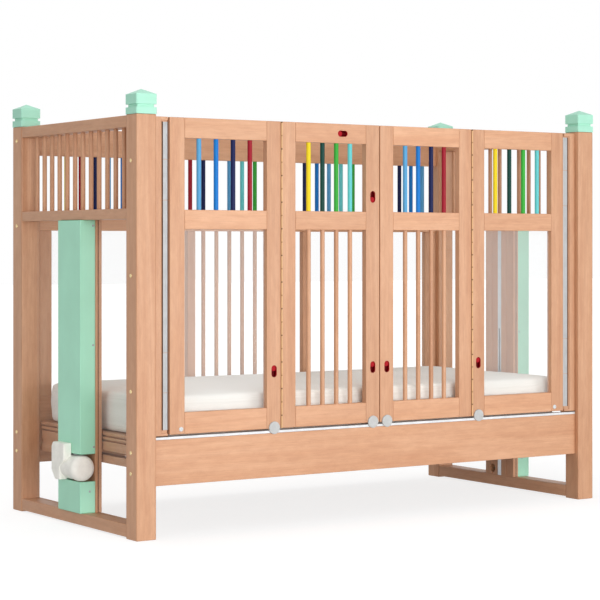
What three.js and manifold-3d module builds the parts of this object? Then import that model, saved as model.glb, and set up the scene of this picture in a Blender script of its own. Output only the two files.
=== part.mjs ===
// A height-adjustable children's hospital cot in beech: four posts, slatted ends with lifting columns,
// a slatted back, two pairs of folding doors at the front, and a platform that the columns raise.
// Millimetres, +Z up, X along the cot, the doors at -Y, the origin on the floor under the middle of the cot.
import * as THREE from "three";
import { mergeVertices } from "three/addons/utils/BufferGeometryUtils.js";
import Module from "manifold-3d";

const wasm = await Module();
wasm.setup();

// Overall frame
const FRAME_LENGTH = 2190;
const FRAME_WIDTH = 1040;
const POST_SIZE = 82;
const POST_HEIGHT = 1545;
const POST_BEVEL = 3;
const FIT = 0.3; // gap between pieces that seat on each other
const LAP = 1; // reach of one solid into or past another that it joins or cuts

// Post caps
const CAP_OVERHANG = 1.5; // beyond the post, on every side
const CAP_BASE_HEIGHT = 24.5;
const CAP_GROOVE_HEIGHT = 11;
const CAP_GROOVE_DEPTH = 7;
const CAP_HEAD_HEIGHT = 36.5;
const CAP_PEAK_HEIGHT = 20;

// Round rods, used in the doors, the ends and the back
const ROD_DIAMETER = 18;
const ROD_SIDES = 10;
const ROUND_SIDES = 16; // other round pieces
const LARGE_ROUND_SIDES = 20;

// Cot ends
const END_RAIL_DEPTH = 79;
const END_RAIL_SETBACK = 2;
const END_TOP_DROP = 2.5; // the post stands this much above the top rail
const END_TOP_RAIL_HEIGHT = 42.5;
const END_MID_RAIL_HEIGHT = 38.5;
const END_MID_RAIL_RISE = 3.5; // above the doors' middle rails
const END_BOTTOM_RAIL_HEIGHT = 46;
const END_BOTTOM_CLEARANCE = 6;
const END_ROD_PITCH = 66.3;
const END_ROD_SHIFT = -19; // of the whole row, towards the doors
const END_PANE_THICKNESS = 5;
const END_PANE_INSET = 9; // behind the guide board's inner face
const END_PANE_GROOVE = 12; // depth of the groove that it stands in

// Guide boards at the ends, which the platform climbs
const GUIDE_BOARD_WIDTH = 190;
const GUIDE_BOARD_THICKNESS = 27;
const GUIDE_GROOVE_FROM_MIDDLE = 49;
const GUIDE_GROOVE_WIDTH = 6;
const GUIDE_GROOVE_DEPTH = 2;
const GUIDE_PROFILE_WIDTH = 24;
const GUIDE_PROFILE_DEPTH = 10;
const CABLE_HOLE_DIAMETER = 36;
const CABLE_HOLE_FROM_MIDDLE = 48;
const CABLE_HOLE_RISE = 28; // above the bottom rail
const LIFT_SLOT_WIDTH = 6;
const LIFT_SLOT_MARGIN = 6; // beyond the tongue's travel
const LIFT_TRAVEL = 380;

// Column covers and lifting actuators outside the guide boards
const COLUMN_WIDTH = 186;
const COLUMN_PROUD = 9; // the cover stands this far outside the posts
const COLUMN_WALL = 3;
const COLUMN_GAP_BOTTOM = 172;
const COLUMN_GAP_TOP = 276;
const MOTOR_DIAMETER = 99;
const MOTOR_DROP = 2; // of its axis, below the middle of the gap
const MOTOR_CAP_PROUD = 8; // in front of the column cover
const MOTOR_BACK = 60;
const MOTOR_CAP_RIM = 6;
const MOTOR_CAP_LENGTH = 34;
const GEARBOX_WIDTH = 106;
const GEARBOX_DEPTH = 35;
const GEARBOX_FRONT = -24;
const GEARBOX_TOP = 315;
const GEARBOX_CHAMFER = 16;
const ACTUATOR_TUBE_DIAMETER = 36;
const ACTUATOR_BORE_DIAMETER = 26;
const PUSH_ROD_DIAMETER = 24;
const PUSH_ROD_BOTTOM = 292;
const PUSH_ROD_SHOWING = 45; // above the tube at the lowest position
const PUSH_ROD_HEADROOM = 39; // under the middle rail at the highest position
const PUSH_ROD_END_GAP = 4; // to the foot of the tube's bore
const ACTUATOR_OFFSET = 3; // outwards from the middle of the column
const CROSSHEAD_HEIGHT = 20;
const CARRIAGE_BAR_WIDTH = 30;
const CARRIAGE_BAR_THICKNESS = 8;
const CARRIAGE_PLATE_WIDTH = 80;
const CARRIAGE_PLATE_THICKNESS = 6;
const CARRIAGE_BAR_GAP = 4; // to the guide board
const CARRIAGE_PLATE_DROP = 4; // below the deck's top
const TONGUE_RISE = 2; // above the beam's lower edge
const TONGUE_HEIGHT = 24;
const TONGUE_CLEARANCE = 0.75; // at each side, in the slot
const CARRIAGE_CLEARANCE = 0.5; // between the plate and the guide board

// Lower boards and the latch rail under the doors
const BOARD_BOTTOM = 191.5;
const BOARD_HEIGHT = 167;
const BOARD_THICKNESS = 28;
const LATCH_RAIL_HEIGHT = 9.5;
const FRONT_RECESS = 20; // the doors and the front board lie this far behind the posts' front

// Doors
const DOOR_THICKNESS = 28;
const DOOR_BOTTOM_GAP = 7.2;
const DOOR_TOP_DROP = 6.5;
const DOOR_STILE = 64;
const DOOR_TOP_RAIL = 75.5;
const DOOR_MID_RAIL = 71.5;
const DOOR_BOTTOM_RAIL = 79;
const UPPER_WINDOW_HEIGHT = 263.5; // between a door's top and middle rails
const FOLD_LINE = 460; // from the middle of the cot to the fold of each door pair
const FOLD_GAP = 2;
const MEETING_GAP = 4;
const JAMB_WIDTH = 59;
const SWING_GAP = 7;
const DOOR_CORNER_CHAMFER = 1.5;
const DOOR_ROD_COUNT = 4;
const DOOR_ROD_END_GAP = 67.5; // from a stile to the middle of the nearest rod
const DOOR_PANE_THICKNESS = 5;
const DOOR_PANE_INSET = 6; // from the door's inner face to the pane

// Hinges
const SWING_BARREL_DIAMETER = 6;
const SWING_AXIS_DEPTH = 3; // behind the doors' front
const HINGE_STRIP_WIDTH = 23.5;
const HINGE_STRIP_THICKNESS = 6;
const HINGE_CHANNEL = 4.5; // open groove beside the strip
const HINGE_WEB_REACH = 2; // of the barrel's web under the strip
const HINGE_WEB_THICKNESS = 1.3;
const HINGE_STRIP_END = 13; // wood left at each end of the strip's groove
const FOLD_BARREL_DIAMETER = 5.6;
const FOLD_AXIS_PROUD = 3.2; // in front of the doors' front
const FOLD_LEAF_THICKNESS = 0.9;
const FOLD_LEAF_DEPTH = 20;
const FOLD_LEAF_GAP = 0.05; // to the outer door
const FOLD_HINGE_END = 1; // door left above and below the hinge

// Latches and door stops
const LATCH_HEIGHT = 592;
const UPPER_LATCH_DROP = 280.5; // below the doors' top
const TOP_LATCH_FROM_MIDDLE = 177;
const LATCH_POCKET_WIDTH = 22;
const LATCH_TRAVEL = 22;
const LATCH_POCKET_DEPTH = 17;
const LATCH_CLEARANCE = 0.4;
const LATCH_DISH_DIAMETER = 15;
const LATCH_DISH_DEPTH = 5;
const LATCH_FACE_DEPTH = 3; // behind the door's front
const BOLT_DIAMETER = 8;
const BOLT_BORE_DIAMETER = 9.4;
const BOLT_END_INSET = 6;
const BOLT_BACK_WALL = 0.5; // button left behind the bolt
const UPPER_PIN_GAP = 3; // to the catch's bore when raised
const STOP_DIAMETER = 48;
const STOP_THICKNESS = 5;
const STOP_RISE = 3; // centre above the door's lower edge

// Back
const BACK_RECESS = 34;
const BACK_THICKNESS = 28;
const BACK_TOP_RAIL = 115;
const BACK_STILE_WIDTH = 38;
const BACK_STILE_FROM_MIDDLE = 293;
const BACK_END_STILE_WIDTH = 62;
const BACK_ROD_PITCH = 65;
const BACK_LOWER_ROD_COUNT = 8;
const BACK_PANE_THICKNESS = 5;

// Platform and mattress
const PLATFORM_SIDE_CLEARANCE = 18; // to the back
const DECK_TOP = 357;
const DECK_FRAME_HEIGHT = 25;
const DECK_FRAME_RECESS = 12; // behind the slats' ends and the beams' faces
const DECK_FRAME_WIDTH = 45;
const DECK_SLAT_COUNT = 15;
const DECK_SLAT_WIDTH = 70;
const DECK_SLAT_THICKNESS = 10;
const BATTEN_HEIGHT = 10; // a strip round the deck frame
const BATTEN_RISE = 8; // above the beams
const BEAM_HEIGHT = 34;
const BEAM_WIDTH = 42;
const BEAM_INSET = 6; // inside the deck frame's edges
const LOWER_BEAM_HEIGHT = 30;
const LOWER_BEAM_DROP = 17;
const BEAM_BLOCK_LENGTH = 120;
const BEAM_BLOCK_INSET = 2; // inside the beams' faces
const MATTRESS_END_CLEARANCE = 13; // to the guide boards
const MATTRESS_SIDE_CLEARANCE = 8; // to the back
const MATTRESS_EDGE = 146;
const MATTRESS_CROWN = 10;
const MATTRESS_CORNER = 60;
const MATTRESS_LEAST_CORNER = 8;
const MATTRESS_CORNER_STEPS = 6;
const MATTRESS_EDGE_ROUND = 24;
const MATTRESS_MOST_INSET = 0.45; // of the width
// Share of the edge's height, and of the edge's rounding
const MATTRESS_SIDE = [[0, 0.55], [0.06, 0.2], [0.2, 0.04], [0.5, 0], [0.8, 0.05], [0.94, 0.22], [1, 0.6]];
// Share of the crown's height, and inset in corner radii
const MATTRESS_TOP = [[0.45, 1.6], [0.75, 3.5], [0.93, 6]];

// Materials
const BEECH = finish(0xe3b08a, 0.5);
const MINT = finish(0xa9e3c8, 0.45);
const ALUMINIUM = finish(0xc9ced3, 0.35, 0.9);
const STEEL = finish(0x9a9da0, 0.4, 0.9);
const BRASS = finish(0xd8b866, 0.4, 0.9);
const MOTOR_WHITE = finish(0xece7df, 0.5);
const LATCH_RED = finish(0xb8202e, 0.35);
const SHEET_WHITE = finish(0xf2efe9, 0.9);
const ACRYLIC = finish(0xf4fafa, 0.05);
ACRYLIC.transparent = true;
ACRYLIC.opacity = 0.25;

function finish(color, roughness, metalness = 0) {
  return new THREE.MeshStandardMaterial({ color, roughness, metalness });
}

// Solids

function solidOf(geometry) {
  const plain = geometry.index ? geometry.toNonIndexed() : geometry.clone();
  plain.deleteAttribute("normal");
  plain.deleteAttribute("uv");
  const merged = mergeVertices(plain, 1e-4);
  const mesh = new wasm.Mesh({
    numProp: 3,
    vertProperties: new Float32Array(merged.attributes.position.array),
    triVerts: new Uint32Array(merged.index.array),
  });
  return new wasm.Manifold(mesh);
}

function geometryOf(solid) {
  const { vertProperties, triVerts } = solid.getMesh();
  const geometry = new THREE.BufferGeometry();
  geometry.setAttribute("position", new THREE.BufferAttribute(vertProperties, 3));
  geometry.setIndex(new THREE.BufferAttribute(triVerts, 1));
  const flat = geometry.toNonIndexed();
  flat.computeVertexNormals();
  return flat;
}

function join(solids) {
  return solids.reduce((whole, piece) => whole.add(piece));
}

// A box from its lowest to its highest corner along each axis.
function block([x0, x1], [y0, y1], [z0, z1]) {
  const box = new THREE.BoxGeometry(x1 - x0, y1 - y0, z1 - z0);
  return solidOf(box.translate((x0 + x1) / 2, (y0 + y1) / 2, (z0 + z1) / 2));
}

// A round bar along an axis, between two places on it, with its centre line at (a, b) on the other axes.
function bar(axis, [a, b], diameter, [from, to], sides = ROD_SIDES) {
  const round = new THREE.CylinderGeometry(diameter / 2, diameter / 2, to - from, sides);
  const middle = (from + to) / 2;
  if (axis === "x") {
    return solidOf(round.rotateZ(-Math.PI / 2).translate(middle, a, b));
  }
  if (axis === "y") {
    return solidOf(round.translate(a, middle, b));
  }
  return solidOf(round.rotateX(Math.PI / 2).translate(a, b, middle));
}

// An outline in the XY plane, raised from one height to another.
function upright(points, [from, to]) {
  const outline = new THREE.Shape(points.map(([x, y]) => new THREE.Vector2(x, y)));
  const raised = new THREE.ExtrudeGeometry(outline, { depth: to - from, bevelEnabled: false });
  return solidOf(raised.translate(0, 0, from));
}

// A square outline with cut corners.
function cutSquare(x, y, size, cut) {
  const h = size / 2;
  const corners = [
    [h - cut, -h], [h, cut - h], [h, h - cut], [h - cut, h],
    [cut - h, h], [-h, h - cut], [-h, cut - h], [cut - h, -h],
  ];
  return corners.map(([dx, dy]) => [x + dx, y + dy]);
}

function node(group, name, solid, material) {
  const mesh = new THREE.Mesh(geometryOf(solid), material);
  mesh.name = name;
  group.add(mesh);
}

function spread(count, pitch) {
  return Array.from({ length: count }, (_, i) => (i - (count - 1) / 2) * pitch);
}

// Places worked out from the driving dimensions
const halfLength = FRAME_LENGTH / 2;
const halfWidth = FRAME_WIDTH / 2;
const innerEnd = halfLength - POST_SIZE; // the posts' faces towards the bed
const innerSide = halfWidth - POST_SIZE;
const doorFront = -halfWidth + FRONT_RECESS;
const doorBack = doorFront + DOOR_THICKNESS;
const boardTop = BOARD_BOTTOM + BOARD_HEIGHT;
const latchRailTop = boardTop + FIT + LATCH_RAIL_HEIGHT;
const doorBottom = latchRailTop + DOOR_BOTTOM_GAP;
const doorTop = POST_HEIGHT - DOOR_TOP_DROP;
const doorMidY = (doorFront + doorBack) / 2;
const jambEdge = innerEnd - FIT - JAMB_WIDTH;
const outerDoorEdge = jambEdge - SWING_GAP;
const swingAxis = { x: jambEdge - SWING_GAP / 2, y: doorFront + SWING_AXIS_DEPTH };
const foldAxis = { x: FOLD_LINE, y: doorFront - FOLD_AXIS_PROUD };
const midRailTop = doorTop - DOOR_TOP_RAIL - UPPER_WINDOW_HEIGHT;
const upperLatchHeight = doorTop - UPPER_LATCH_DROP;
const endMidTop = midRailTop + END_MID_RAIL_RISE;
const endMidBottom = endMidTop - END_MID_RAIL_HEIGHT;
const endBottomTop = END_BOTTOM_CLEARANCE + END_BOTTOM_RAIL_HEIGHT;
const guideInner = innerEnd; // flush with the posts
const guideOuter = guideInner + GUIDE_BOARD_THICKNESS;
const endPaneX = [guideInner + END_PANE_INSET, guideInner + END_PANE_INSET + END_PANE_THICKNESS];
const columnInner = guideOuter + FIT;
const columnOuter = halfLength + COLUMN_PROUD;
const columnMidX = (columnInner + COLUMN_WALL + columnOuter) / 2 + ACTUATOR_OFFSET;
const beamTop = DECK_TOP - DECK_SLAT_THICKNESS - DECK_FRAME_HEIGHT;
const beamBottom = beamTop - BEAM_HEIGHT;
const tongue = [beamBottom + TONGUE_RISE, beamBottom + TONGUE_RISE + TONGUE_HEIGHT];
const pushRodTop = endMidBottom - LIFT_TRAVEL - PUSH_ROD_HEADROOM;
const actuatorTubeTop = pushRodTop - PUSH_ROD_SHOWING;
const endRodCount = Math.floor((2 * innerSide) / END_ROD_PITCH);
const backRodCount = Math.floor((2 * innerEnd) / BACK_ROD_PITCH) - 1;
const plateOuter = guideInner - CARRIAGE_CLEARANCE;
const carriagePlate = [plateOuter - CARRIAGE_PLATE_THICKNESS, plateOuter];
const platformEnd = carriagePlate[0] - FIT;
const backOuter = halfWidth - BACK_RECESS;
const backY = [backOuter - BACK_THICKNESS, backOuter];
const platformSide = backY[0] - PLATFORM_SIDE_CLEARANCE;
const mattressLength = 2 * (innerEnd - MATTRESS_END_CLEARANCE);
const mattressWidth = 2 * (backY[0] - MATTRESS_SIDE_CLEARANCE);
const liftSlot = [tongue[0] - LIFT_SLOT_MARGIN, tongue[1] + LIFT_TRAVEL + LIFT_SLOT_MARGIN];

// Posts and caps, one at each corner

function postAndCap(group, name, signX, signY) {
  const x = signX * (halfLength - POST_SIZE / 2);
  const y = signY * (halfWidth - POST_SIZE / 2);
  const post = upright(cutSquare(x, y, POST_SIZE, POST_BEVEL), [0, POST_HEIGHT]);
  node(group, `post_${name}`, post, BEECH);

  const capSide = POST_SIZE + 2 * CAP_OVERHANG;
  const neck = capSide - 2 * CAP_GROOVE_DEPTH;
  const base = POST_HEIGHT + FIT;
  const groove = base + CAP_BASE_HEIGHT;
  const head = groove + CAP_GROOVE_HEIGHT;
  const peak = head + CAP_HEAD_HEIGHT;
  const peakCone = new THREE.ConeGeometry(capSide * Math.SQRT1_2, CAP_PEAK_HEIGHT, 4, 1);
  peakCone.rotateY(Math.PI / 4).rotateX(Math.PI / 2).translate(x, y, peak + CAP_PEAK_HEIGHT / 2);
  const cap = join([
    upright(cutSquare(x, y, capSide, POST_BEVEL), [base, groove]),
    upright(cutSquare(x, y, neck, POST_BEVEL), [groove - LAP, head + LAP]),
    upright(cutSquare(x, y, capSide, POST_BEVEL), [head, peak + LAP / 2]),
    solidOf(peakCone),
  ]);
  node(group, `cap_${name}`, cap, MINT);
}

// One end of the cot, drawn at +X

function endGrille() {
  const railX = [halfLength - END_RAIL_SETBACK - END_RAIL_DEPTH, halfLength - END_RAIL_SETBACK];
  const railY = [-innerSide + FIT, innerSide - FIT];
  const topRailTop = POST_HEIGHT - END_TOP_DROP;
  const topRailBottom = topRailTop - END_TOP_RAIL_HEIGHT;
  const rodX = (railX[0] + railX[1]) / 2;
  const rods = spread(endRodCount, END_ROD_PITCH).map((y) =>
    bar("z", [rodX, y + END_ROD_SHIFT], ROD_DIAMETER, [endMidTop - LAP, topRailBottom + LAP]),
  );
  return join([
    block(railX, railY, [topRailBottom, topRailTop]),
    block(railX, railY, [endMidBottom, endMidTop]),
    ...rods,
  ]);
}

function endBottomRail() {
  const rail = block(
    [halfLength - END_RAIL_SETBACK - END_RAIL_DEPTH, halfLength - END_RAIL_SETBACK],
    [-innerSide + FIT, innerSide - FIT],
    [END_BOTTOM_CLEARANCE, endBottomTop],
  );
  const groove = block(
    [endPaneX[0] - FIT, endPaneX[1] + FIT],
    [-innerSide, innerSide],
    [endBottomTop - END_PANE_GROOVE, endBottomTop + LAP],
  );
  return rail.subtract(groove);
}

function guideBoard() {
  const z = [endBottomTop + FIT, endMidBottom - FIT];
  const cutZ = [z[0] - LAP, z[1] + LAP];
  const half = GUIDE_BOARD_WIDTH / 2;
  const channelHalf = GUIDE_PROFILE_WIDTH / 2;
  const board = block([guideInner, guideOuter], [-half, half], z);
  const channelX = [guideInner - LAP, guideInner + GUIDE_PROFILE_DEPTH];
  const channel = block(channelX, [-channelHalf, channelHalf], cutZ);
  const grooves = [-GUIDE_GROOVE_FROM_MIDDLE, GUIDE_GROOVE_FROM_MIDDLE].map((at) => {
    const y = [at - GUIDE_GROOVE_WIDTH / 2, at + GUIDE_GROOVE_WIDTH / 2];
    return block([guideInner - LAP, guideInner + GUIDE_GROOVE_DEPTH], y, cutZ);
  });
  const cableHole = bar(
    "x",
    [CABLE_HOLE_FROM_MIDDLE, z[0] + CABLE_HOLE_RISE],
    CABLE_HOLE_DIAMETER,
    [guideInner - LAP, guideOuter + LAP],
    LARGE_ROUND_SIDES,
  );
  const cuts = [channel, ...grooves, liftSlotCut(), cableHole];
  return cuts.reduce((solid, cut) => solid.subtract(cut), board);
}

function guideProfile() {
  const half = GUIDE_PROFILE_WIDTH / 2 - FIT;
  const strip = block(
    [guideInner, guideInner + GUIDE_PROFILE_DEPTH - FIT],
    [-half, half],
    [endBottomTop + FIT, endMidBottom - FIT],
  );
  return strip.subtract(liftSlotCut());
}

// One clear sheet, standing in the bottom rail's groove and notched round the guide board.
function endPane() {
  const outer = innerSide - FIT;
  const inner = GUIDE_BOARD_WIDTH / 2 + FIT;
  const top = endMidBottom - FIT;
  const sheet = block(endPaneX, [-outer, outer], [endBottomTop - END_PANE_GROOVE + FIT, top]);
  const notch = block([endPaneX[0] - LAP, endPaneX[1] + LAP], [-inner, inner], [endBottomTop, top + LAP]);
  return sheet.subtract(notch);
}

// The slot that the lifting carriage's tongue travels in, through the guide profile and its board.
function liftSlotCut() {
  const half = LIFT_SLOT_WIDTH / 2;
  return block([guideInner - LAP, guideOuter + LAP], [-half, half], liftSlot);
}

function columnCover(z) {
  const half = COLUMN_WIDTH / 2;
  const outer = block([columnInner, columnOuter], [-half, half], z);
  const hollow = block(
    [columnInner - LAP, columnOuter - COLUMN_WALL],
    [-half + COLUMN_WALL, half - COLUMN_WALL],
    [z[0] - LAP, z[1] + LAP],
  );
  return outer.subtract(hollow);
}

// Motor, gearbox and outer tube of one lifting actuator.
function liftMotor() {
  const axisZ = (COLUMN_GAP_BOTTOM + COLUMN_GAP_TOP) / 2 - MOTOR_DROP;
  const axisX = columnOuter + GEARBOX_DEPTH - MOTOR_DIAMETER / 2;
  const capFront = -COLUMN_WIDTH / 2 - MOTOR_CAP_PROUD;
  const capBack = capFront + MOTOR_CAP_LENGTH;
  const barrelDiameter = MOTOR_DIAMETER - MOTOR_CAP_RIM;
  const barrel = bar("y", [axisX, axisZ], barrelDiameter, [capBack - LAP, MOTOR_BACK], LARGE_ROUND_SIDES);
  const cap = bar("y", [axisX, axisZ], MOTOR_DIAMETER, [capFront, capBack], LARGE_ROUND_SIDES);
  const low = axisZ - MOTOR_DIAMETER / 2;
  const boxX = [columnOuter + FIT, columnOuter + GEARBOX_DEPTH];
  const c = GEARBOX_CHAMFER;
  const y0 = GEARBOX_FRONT;
  const y1 = GEARBOX_FRONT + GEARBOX_WIDTH;
  const lowerEdge = [[y0, low], [y1 - 2 * c, low], [y1, low + 2 * c]];
  const upperEdge = [[y1, GEARBOX_TOP - c], [y1 - c, GEARBOX_TOP], [y0, GEARBOX_TOP]];
  const shape = new THREE.Shape([...lowerEdge, ...upperEdge].map(([y, z]) => new THREE.Vector2(y, z)));
  const thick = new THREE.ExtrudeGeometry(shape, { depth: boxX[1] - boxX[0], bevelEnabled: false });
  const turned = new THREE.Matrix4().set(0, 0, 1, boxX[0], 1, 0, 0, 0, 0, 1, 0, 0, 0, 0, 0, 1);
  const gearbox = solidOf(thick.applyMatrix4(turned));
  const middle = [columnMidX, 0];
  const boreZ = [PUSH_ROD_BOTTOM - PUSH_ROD_END_GAP, actuatorTubeTop + LAP];
  const tube = bar("z", middle, ACTUATOR_TUBE_DIAMETER, [axisZ, actuatorTubeTop], ROUND_SIDES);
  const bore = bar("z", middle, ACTUATOR_BORE_DIAMETER, boreZ, ROUND_SIDES);
  return join([barrel, cap, gearbox, tube]).subtract(bore);
}

// Push rod, crosshead, hidden drop bar, tongue and platform plate, welded as one lifting carriage.
function liftCarriage() {
  const barHalf = CARRIAGE_BAR_WIDTH / 2;
  const barInner = columnInner + CARRIAGE_BAR_GAP;
  const barX = [barInner, barInner + CARRIAGE_BAR_THICKNESS];
  const tongueHalf = LIFT_SLOT_WIDTH / 2 - TONGUE_CLEARANCE;
  const plateHalf = CARRIAGE_PLATE_WIDTH / 2;
  const crossheadZ = [pushRodTop - CROSSHEAD_HEIGHT, pushRodTop];
  const rodHalf = PUSH_ROD_DIAMETER / 2;
  return join([
    bar("z", [columnMidX, 0], PUSH_ROD_DIAMETER, [PUSH_ROD_BOTTOM, pushRodTop - LAP], ROUND_SIDES),
    block([barX[0], columnMidX + rodHalf], [-barHalf, barHalf], crossheadZ),
    block(barX, [-barHalf, barHalf], [tongue[0], pushRodTop - 2 * LAP]),
    block([carriagePlate[0] + LAP, barX[1] - LAP], [-tongueHalf, tongueHalf], tongue),
    block(carriagePlate, [-plateHalf, plateHalf], [beamBottom, DECK_TOP - CARRIAGE_PLATE_DROP]),
  ]);
}

function cotEnd(group, side) {
  node(group, `${side}_end_grille`, endGrille(), BEECH);
  node(group, `${side}_end_bottom_rail`, endBottomRail(), BEECH);
  node(group, `${side}_guide_board`, guideBoard(), BEECH);
  node(group, `${side}_guide_profile`, guideProfile(), ALUMINIUM);
  node(group, `${side}_end_pane`, endPane(), ACRYLIC);
  node(group, `${side}_column_cover_lower`, columnCover([endBottomTop + FIT, COLUMN_GAP_BOTTOM]), MINT);
  node(group, `${side}_column_cover_upper`, columnCover([COLUMN_GAP_TOP, endMidBottom - FIT]), MINT);
  node(group, `${side}_lift_motor`, liftMotor(), MOTOR_WHITE);
  node(group, `${side}_lift_carriage`, liftCarriage(), STEEL);
}

// Door frames at the right of the middle line, seen from the front

// The stretch of X that a door covers.
const doorSpan = {
  outer: [FOLD_LINE + FOLD_GAP / 2, outerDoorEdge],
  inner: [MEETING_GAP / 2, FOLD_LINE - FOLD_GAP / 2],
};

// A slot with round ends, cut in from the doors' front and running along Z.
function latchPocket(x, z, { along = "z" } = {}) {
  const half = LATCH_TRAVEL / 2;
  const depth = [doorFront - LAP, doorFront + LATCH_POCKET_DEPTH];
  const width = LATCH_POCKET_WIDTH / 2;
  const [dx, dz] = along === "z" ? [0, half] : [half, 0];
  const middle =
    along === "z"
      ? block([x - width, x + width], depth, [z - half, z + half])
      : block([x - half, x + half], depth, [z - width, z + width]);
  return join([
    middle,
    bar("y", [x - dx, z - dz], LATCH_POCKET_WIDTH, depth, ROUND_SIDES),
    bar("y", [x + dx, z + dz], LATCH_POCKET_WIDTH, depth, ROUND_SIDES),
  ]);
}

// A latch button with a finger dish, in its pocket at the end away from its bolt's travel.
function latchButton(x, z) {
  const diameter = LATCH_POCKET_WIDTH - 2 * LATCH_CLEARANCE;
  const front = doorFront + LATCH_FACE_DEPTH;
  const back = doorFront + LATCH_POCKET_DEPTH - LATCH_CLEARANCE;
  const button = bar("y", [x, z], diameter, [front, back], ROUND_SIDES);
  const dish = bar("y", [x, z], LATCH_DISH_DIAMETER, [front - LAP, front + LATCH_DISH_DEPTH], ROUND_SIDES);
  return button.subtract(dish);
}

const bolt = {
  y: doorFront + LATCH_POCKET_DEPTH - LATCH_CLEARANCE - BOLT_DIAMETER / 2 - BOLT_BACK_WALL,
  startZ: LATCH_HEIGHT + LATCH_TRAVEL / 2,
};

function downBoltLatch(x) {
  const shaft = bar("z", [x, bolt.y], BOLT_DIAMETER, [doorBottom + BOLT_END_INSET, bolt.startZ]);
  return join([latchButton(x, bolt.startZ), shaft]);
}

function downBoltCut(x) {
  const bore = bar("z", [x, bolt.y], BOLT_BORE_DIAMETER, [doorBottom - LAP, LATCH_HEIGHT]);
  return join([latchPocket(x, LATCH_HEIGHT), bore]);
}

function doorFrame([x0, x1], { chamferX = null, cuts = [] } = {}) {
  const y = [doorFront, doorBack];
  const z = [doorBottom, doorTop];
  const openingX = [x0 + DOOR_STILE, x1 - DOOR_STILE];
  const openingZ = [z[0] + DOOR_BOTTOM_RAIL, z[1] - DOOR_TOP_RAIL];
  const opening = block(openingX, [y[0] - LAP, y[1] + LAP], openingZ);
  let frame = block([x0, x1], y, z).subtract(opening);
  if (chamferX !== null) {
    const c = DOOR_CORNER_CHAMFER;
    const sign = Math.sign(chamferX);
    const beyond = chamferX + sign * LAP;
    const wedge = [
      [beyond, doorFront - LAP],
      [beyond, doorFront + c + LAP],
      [chamferX - sign * (c + LAP), doorFront - LAP],
    ];
    const outline = sign > 0 ? wedge : wedge.reverse();
    frame = frame.subtract(upright(outline, [z[0] - LAP, z[1] + LAP]));
  }
  return cuts.reduce((solid, cut) => solid.subtract(cut), frame);
}

// A door's middle rail with its upper rods and, where it has them, its lower rods.
function doorRods([x0, x1], { lower }) {
  const openingX = [x0 + DOOR_STILE + FIT, x1 - DOOR_STILE - FIT];
  const midBottom = midRailTop - DOOR_MID_RAIL;
  const pitch = (openingX[1] - openingX[0] - 2 * DOOR_ROD_END_GAP) / (DOOR_ROD_COUNT - 1);
  const middle = (x0 + x1) / 2;
  const topEnd = doorTop - DOOR_TOP_RAIL - FIT;
  const bottomEnd = lower ? doorBottom + DOOR_BOTTOM_RAIL + FIT : midBottom + LAP;
  const rods = spread(DOOR_ROD_COUNT, pitch).map((dx) =>
    bar("z", [middle + dx, doorMidY], ROD_DIAMETER, [bottomEnd, topEnd]),
  );
  return join([block(openingX, [doorFront, doorBack], [midBottom, midRailTop]), ...rods]);
}

function doorPane([x0, x1]) {
  const y1 = doorBack - DOOR_PANE_INSET;
  return block(
    [x0 + DOOR_STILE + FIT, x1 - DOOR_STILE - FIT],
    [y1 - DOOR_PANE_THICKNESS, y1],
    [doorBottom + DOOR_BOTTOM_RAIL + FIT, midRailTop - DOOR_MID_RAIL - FIT],
  );
}

// The round stop at the foot of a stile, which bears on the latch rail's front.
function doorStop(x) {
  const y = [doorFront - FIT - STOP_THICKNESS, doorFront - FIT];
  return bar("y", [x, doorBottom + STOP_RISE], STOP_DIAMETER, y, ROUND_SIDES);
}

// The long hinge between two doors: its barrel in front of them, and a leaf in the gap between.
function foldHinge() {
  const z = [doorBottom + FOLD_HINGE_END, doorTop - FOLD_HINGE_END];
  const leafOuter = FOLD_LINE + FOLD_GAP / 2 - FOLD_LEAF_GAP;
  const leafX = [leafOuter - FOLD_LEAF_THICKNESS, leafOuter];
  return join([
    bar("z", [foldAxis.x, foldAxis.y], FOLD_BARREL_DIAMETER, z),
    block(leafX, [foldAxis.y, doorFront + FOLD_LEAF_DEPTH], z),
  ]);
}

function jamb() {
  const edges = [jambEdge, innerEnd - FIT];
  const z = [latchRailTop + FIT, doorTop];
  const groove = block(
    [jambEdge - LAP, jambEdge + HINGE_STRIP_WIDTH + HINGE_CHANNEL],
    [doorFront - LAP, doorFront + HINGE_STRIP_THICKNESS],
    [z[0] + HINGE_STRIP_END, z[1] - HINGE_STRIP_END],
  );
  return block(edges, [doorFront, doorBack], z).subtract(groove);
}

// The long hinge at the jamb: a strip let into the jamb, and its barrel in the gap to the door.
function hingeStrip() {
  const z = [latchRailTop + FIT + HINGE_STRIP_END + FIT, doorTop - HINGE_STRIP_END - FIT];
  const y = [doorFront, doorFront + HINGE_STRIP_THICKNESS - FIT];
  const webY = [swingAxis.y - FIT - HINGE_WEB_THICKNESS, swingAxis.y - FIT];
  return join([
    block([jambEdge, jambEdge + HINGE_STRIP_WIDTH], y, z),
    block([swingAxis.x, jambEdge + HINGE_WEB_REACH], webY, z),
    bar("z", [swingAxis.x, swingAxis.y], SWING_BARREL_DIAMETER, z),
  ]);
}

const latchX = { outer: doorSpan.outer[0] + DOOR_STILE / 2, inner: doorSpan.inner[0] + DOOR_STILE / 2 };

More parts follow.
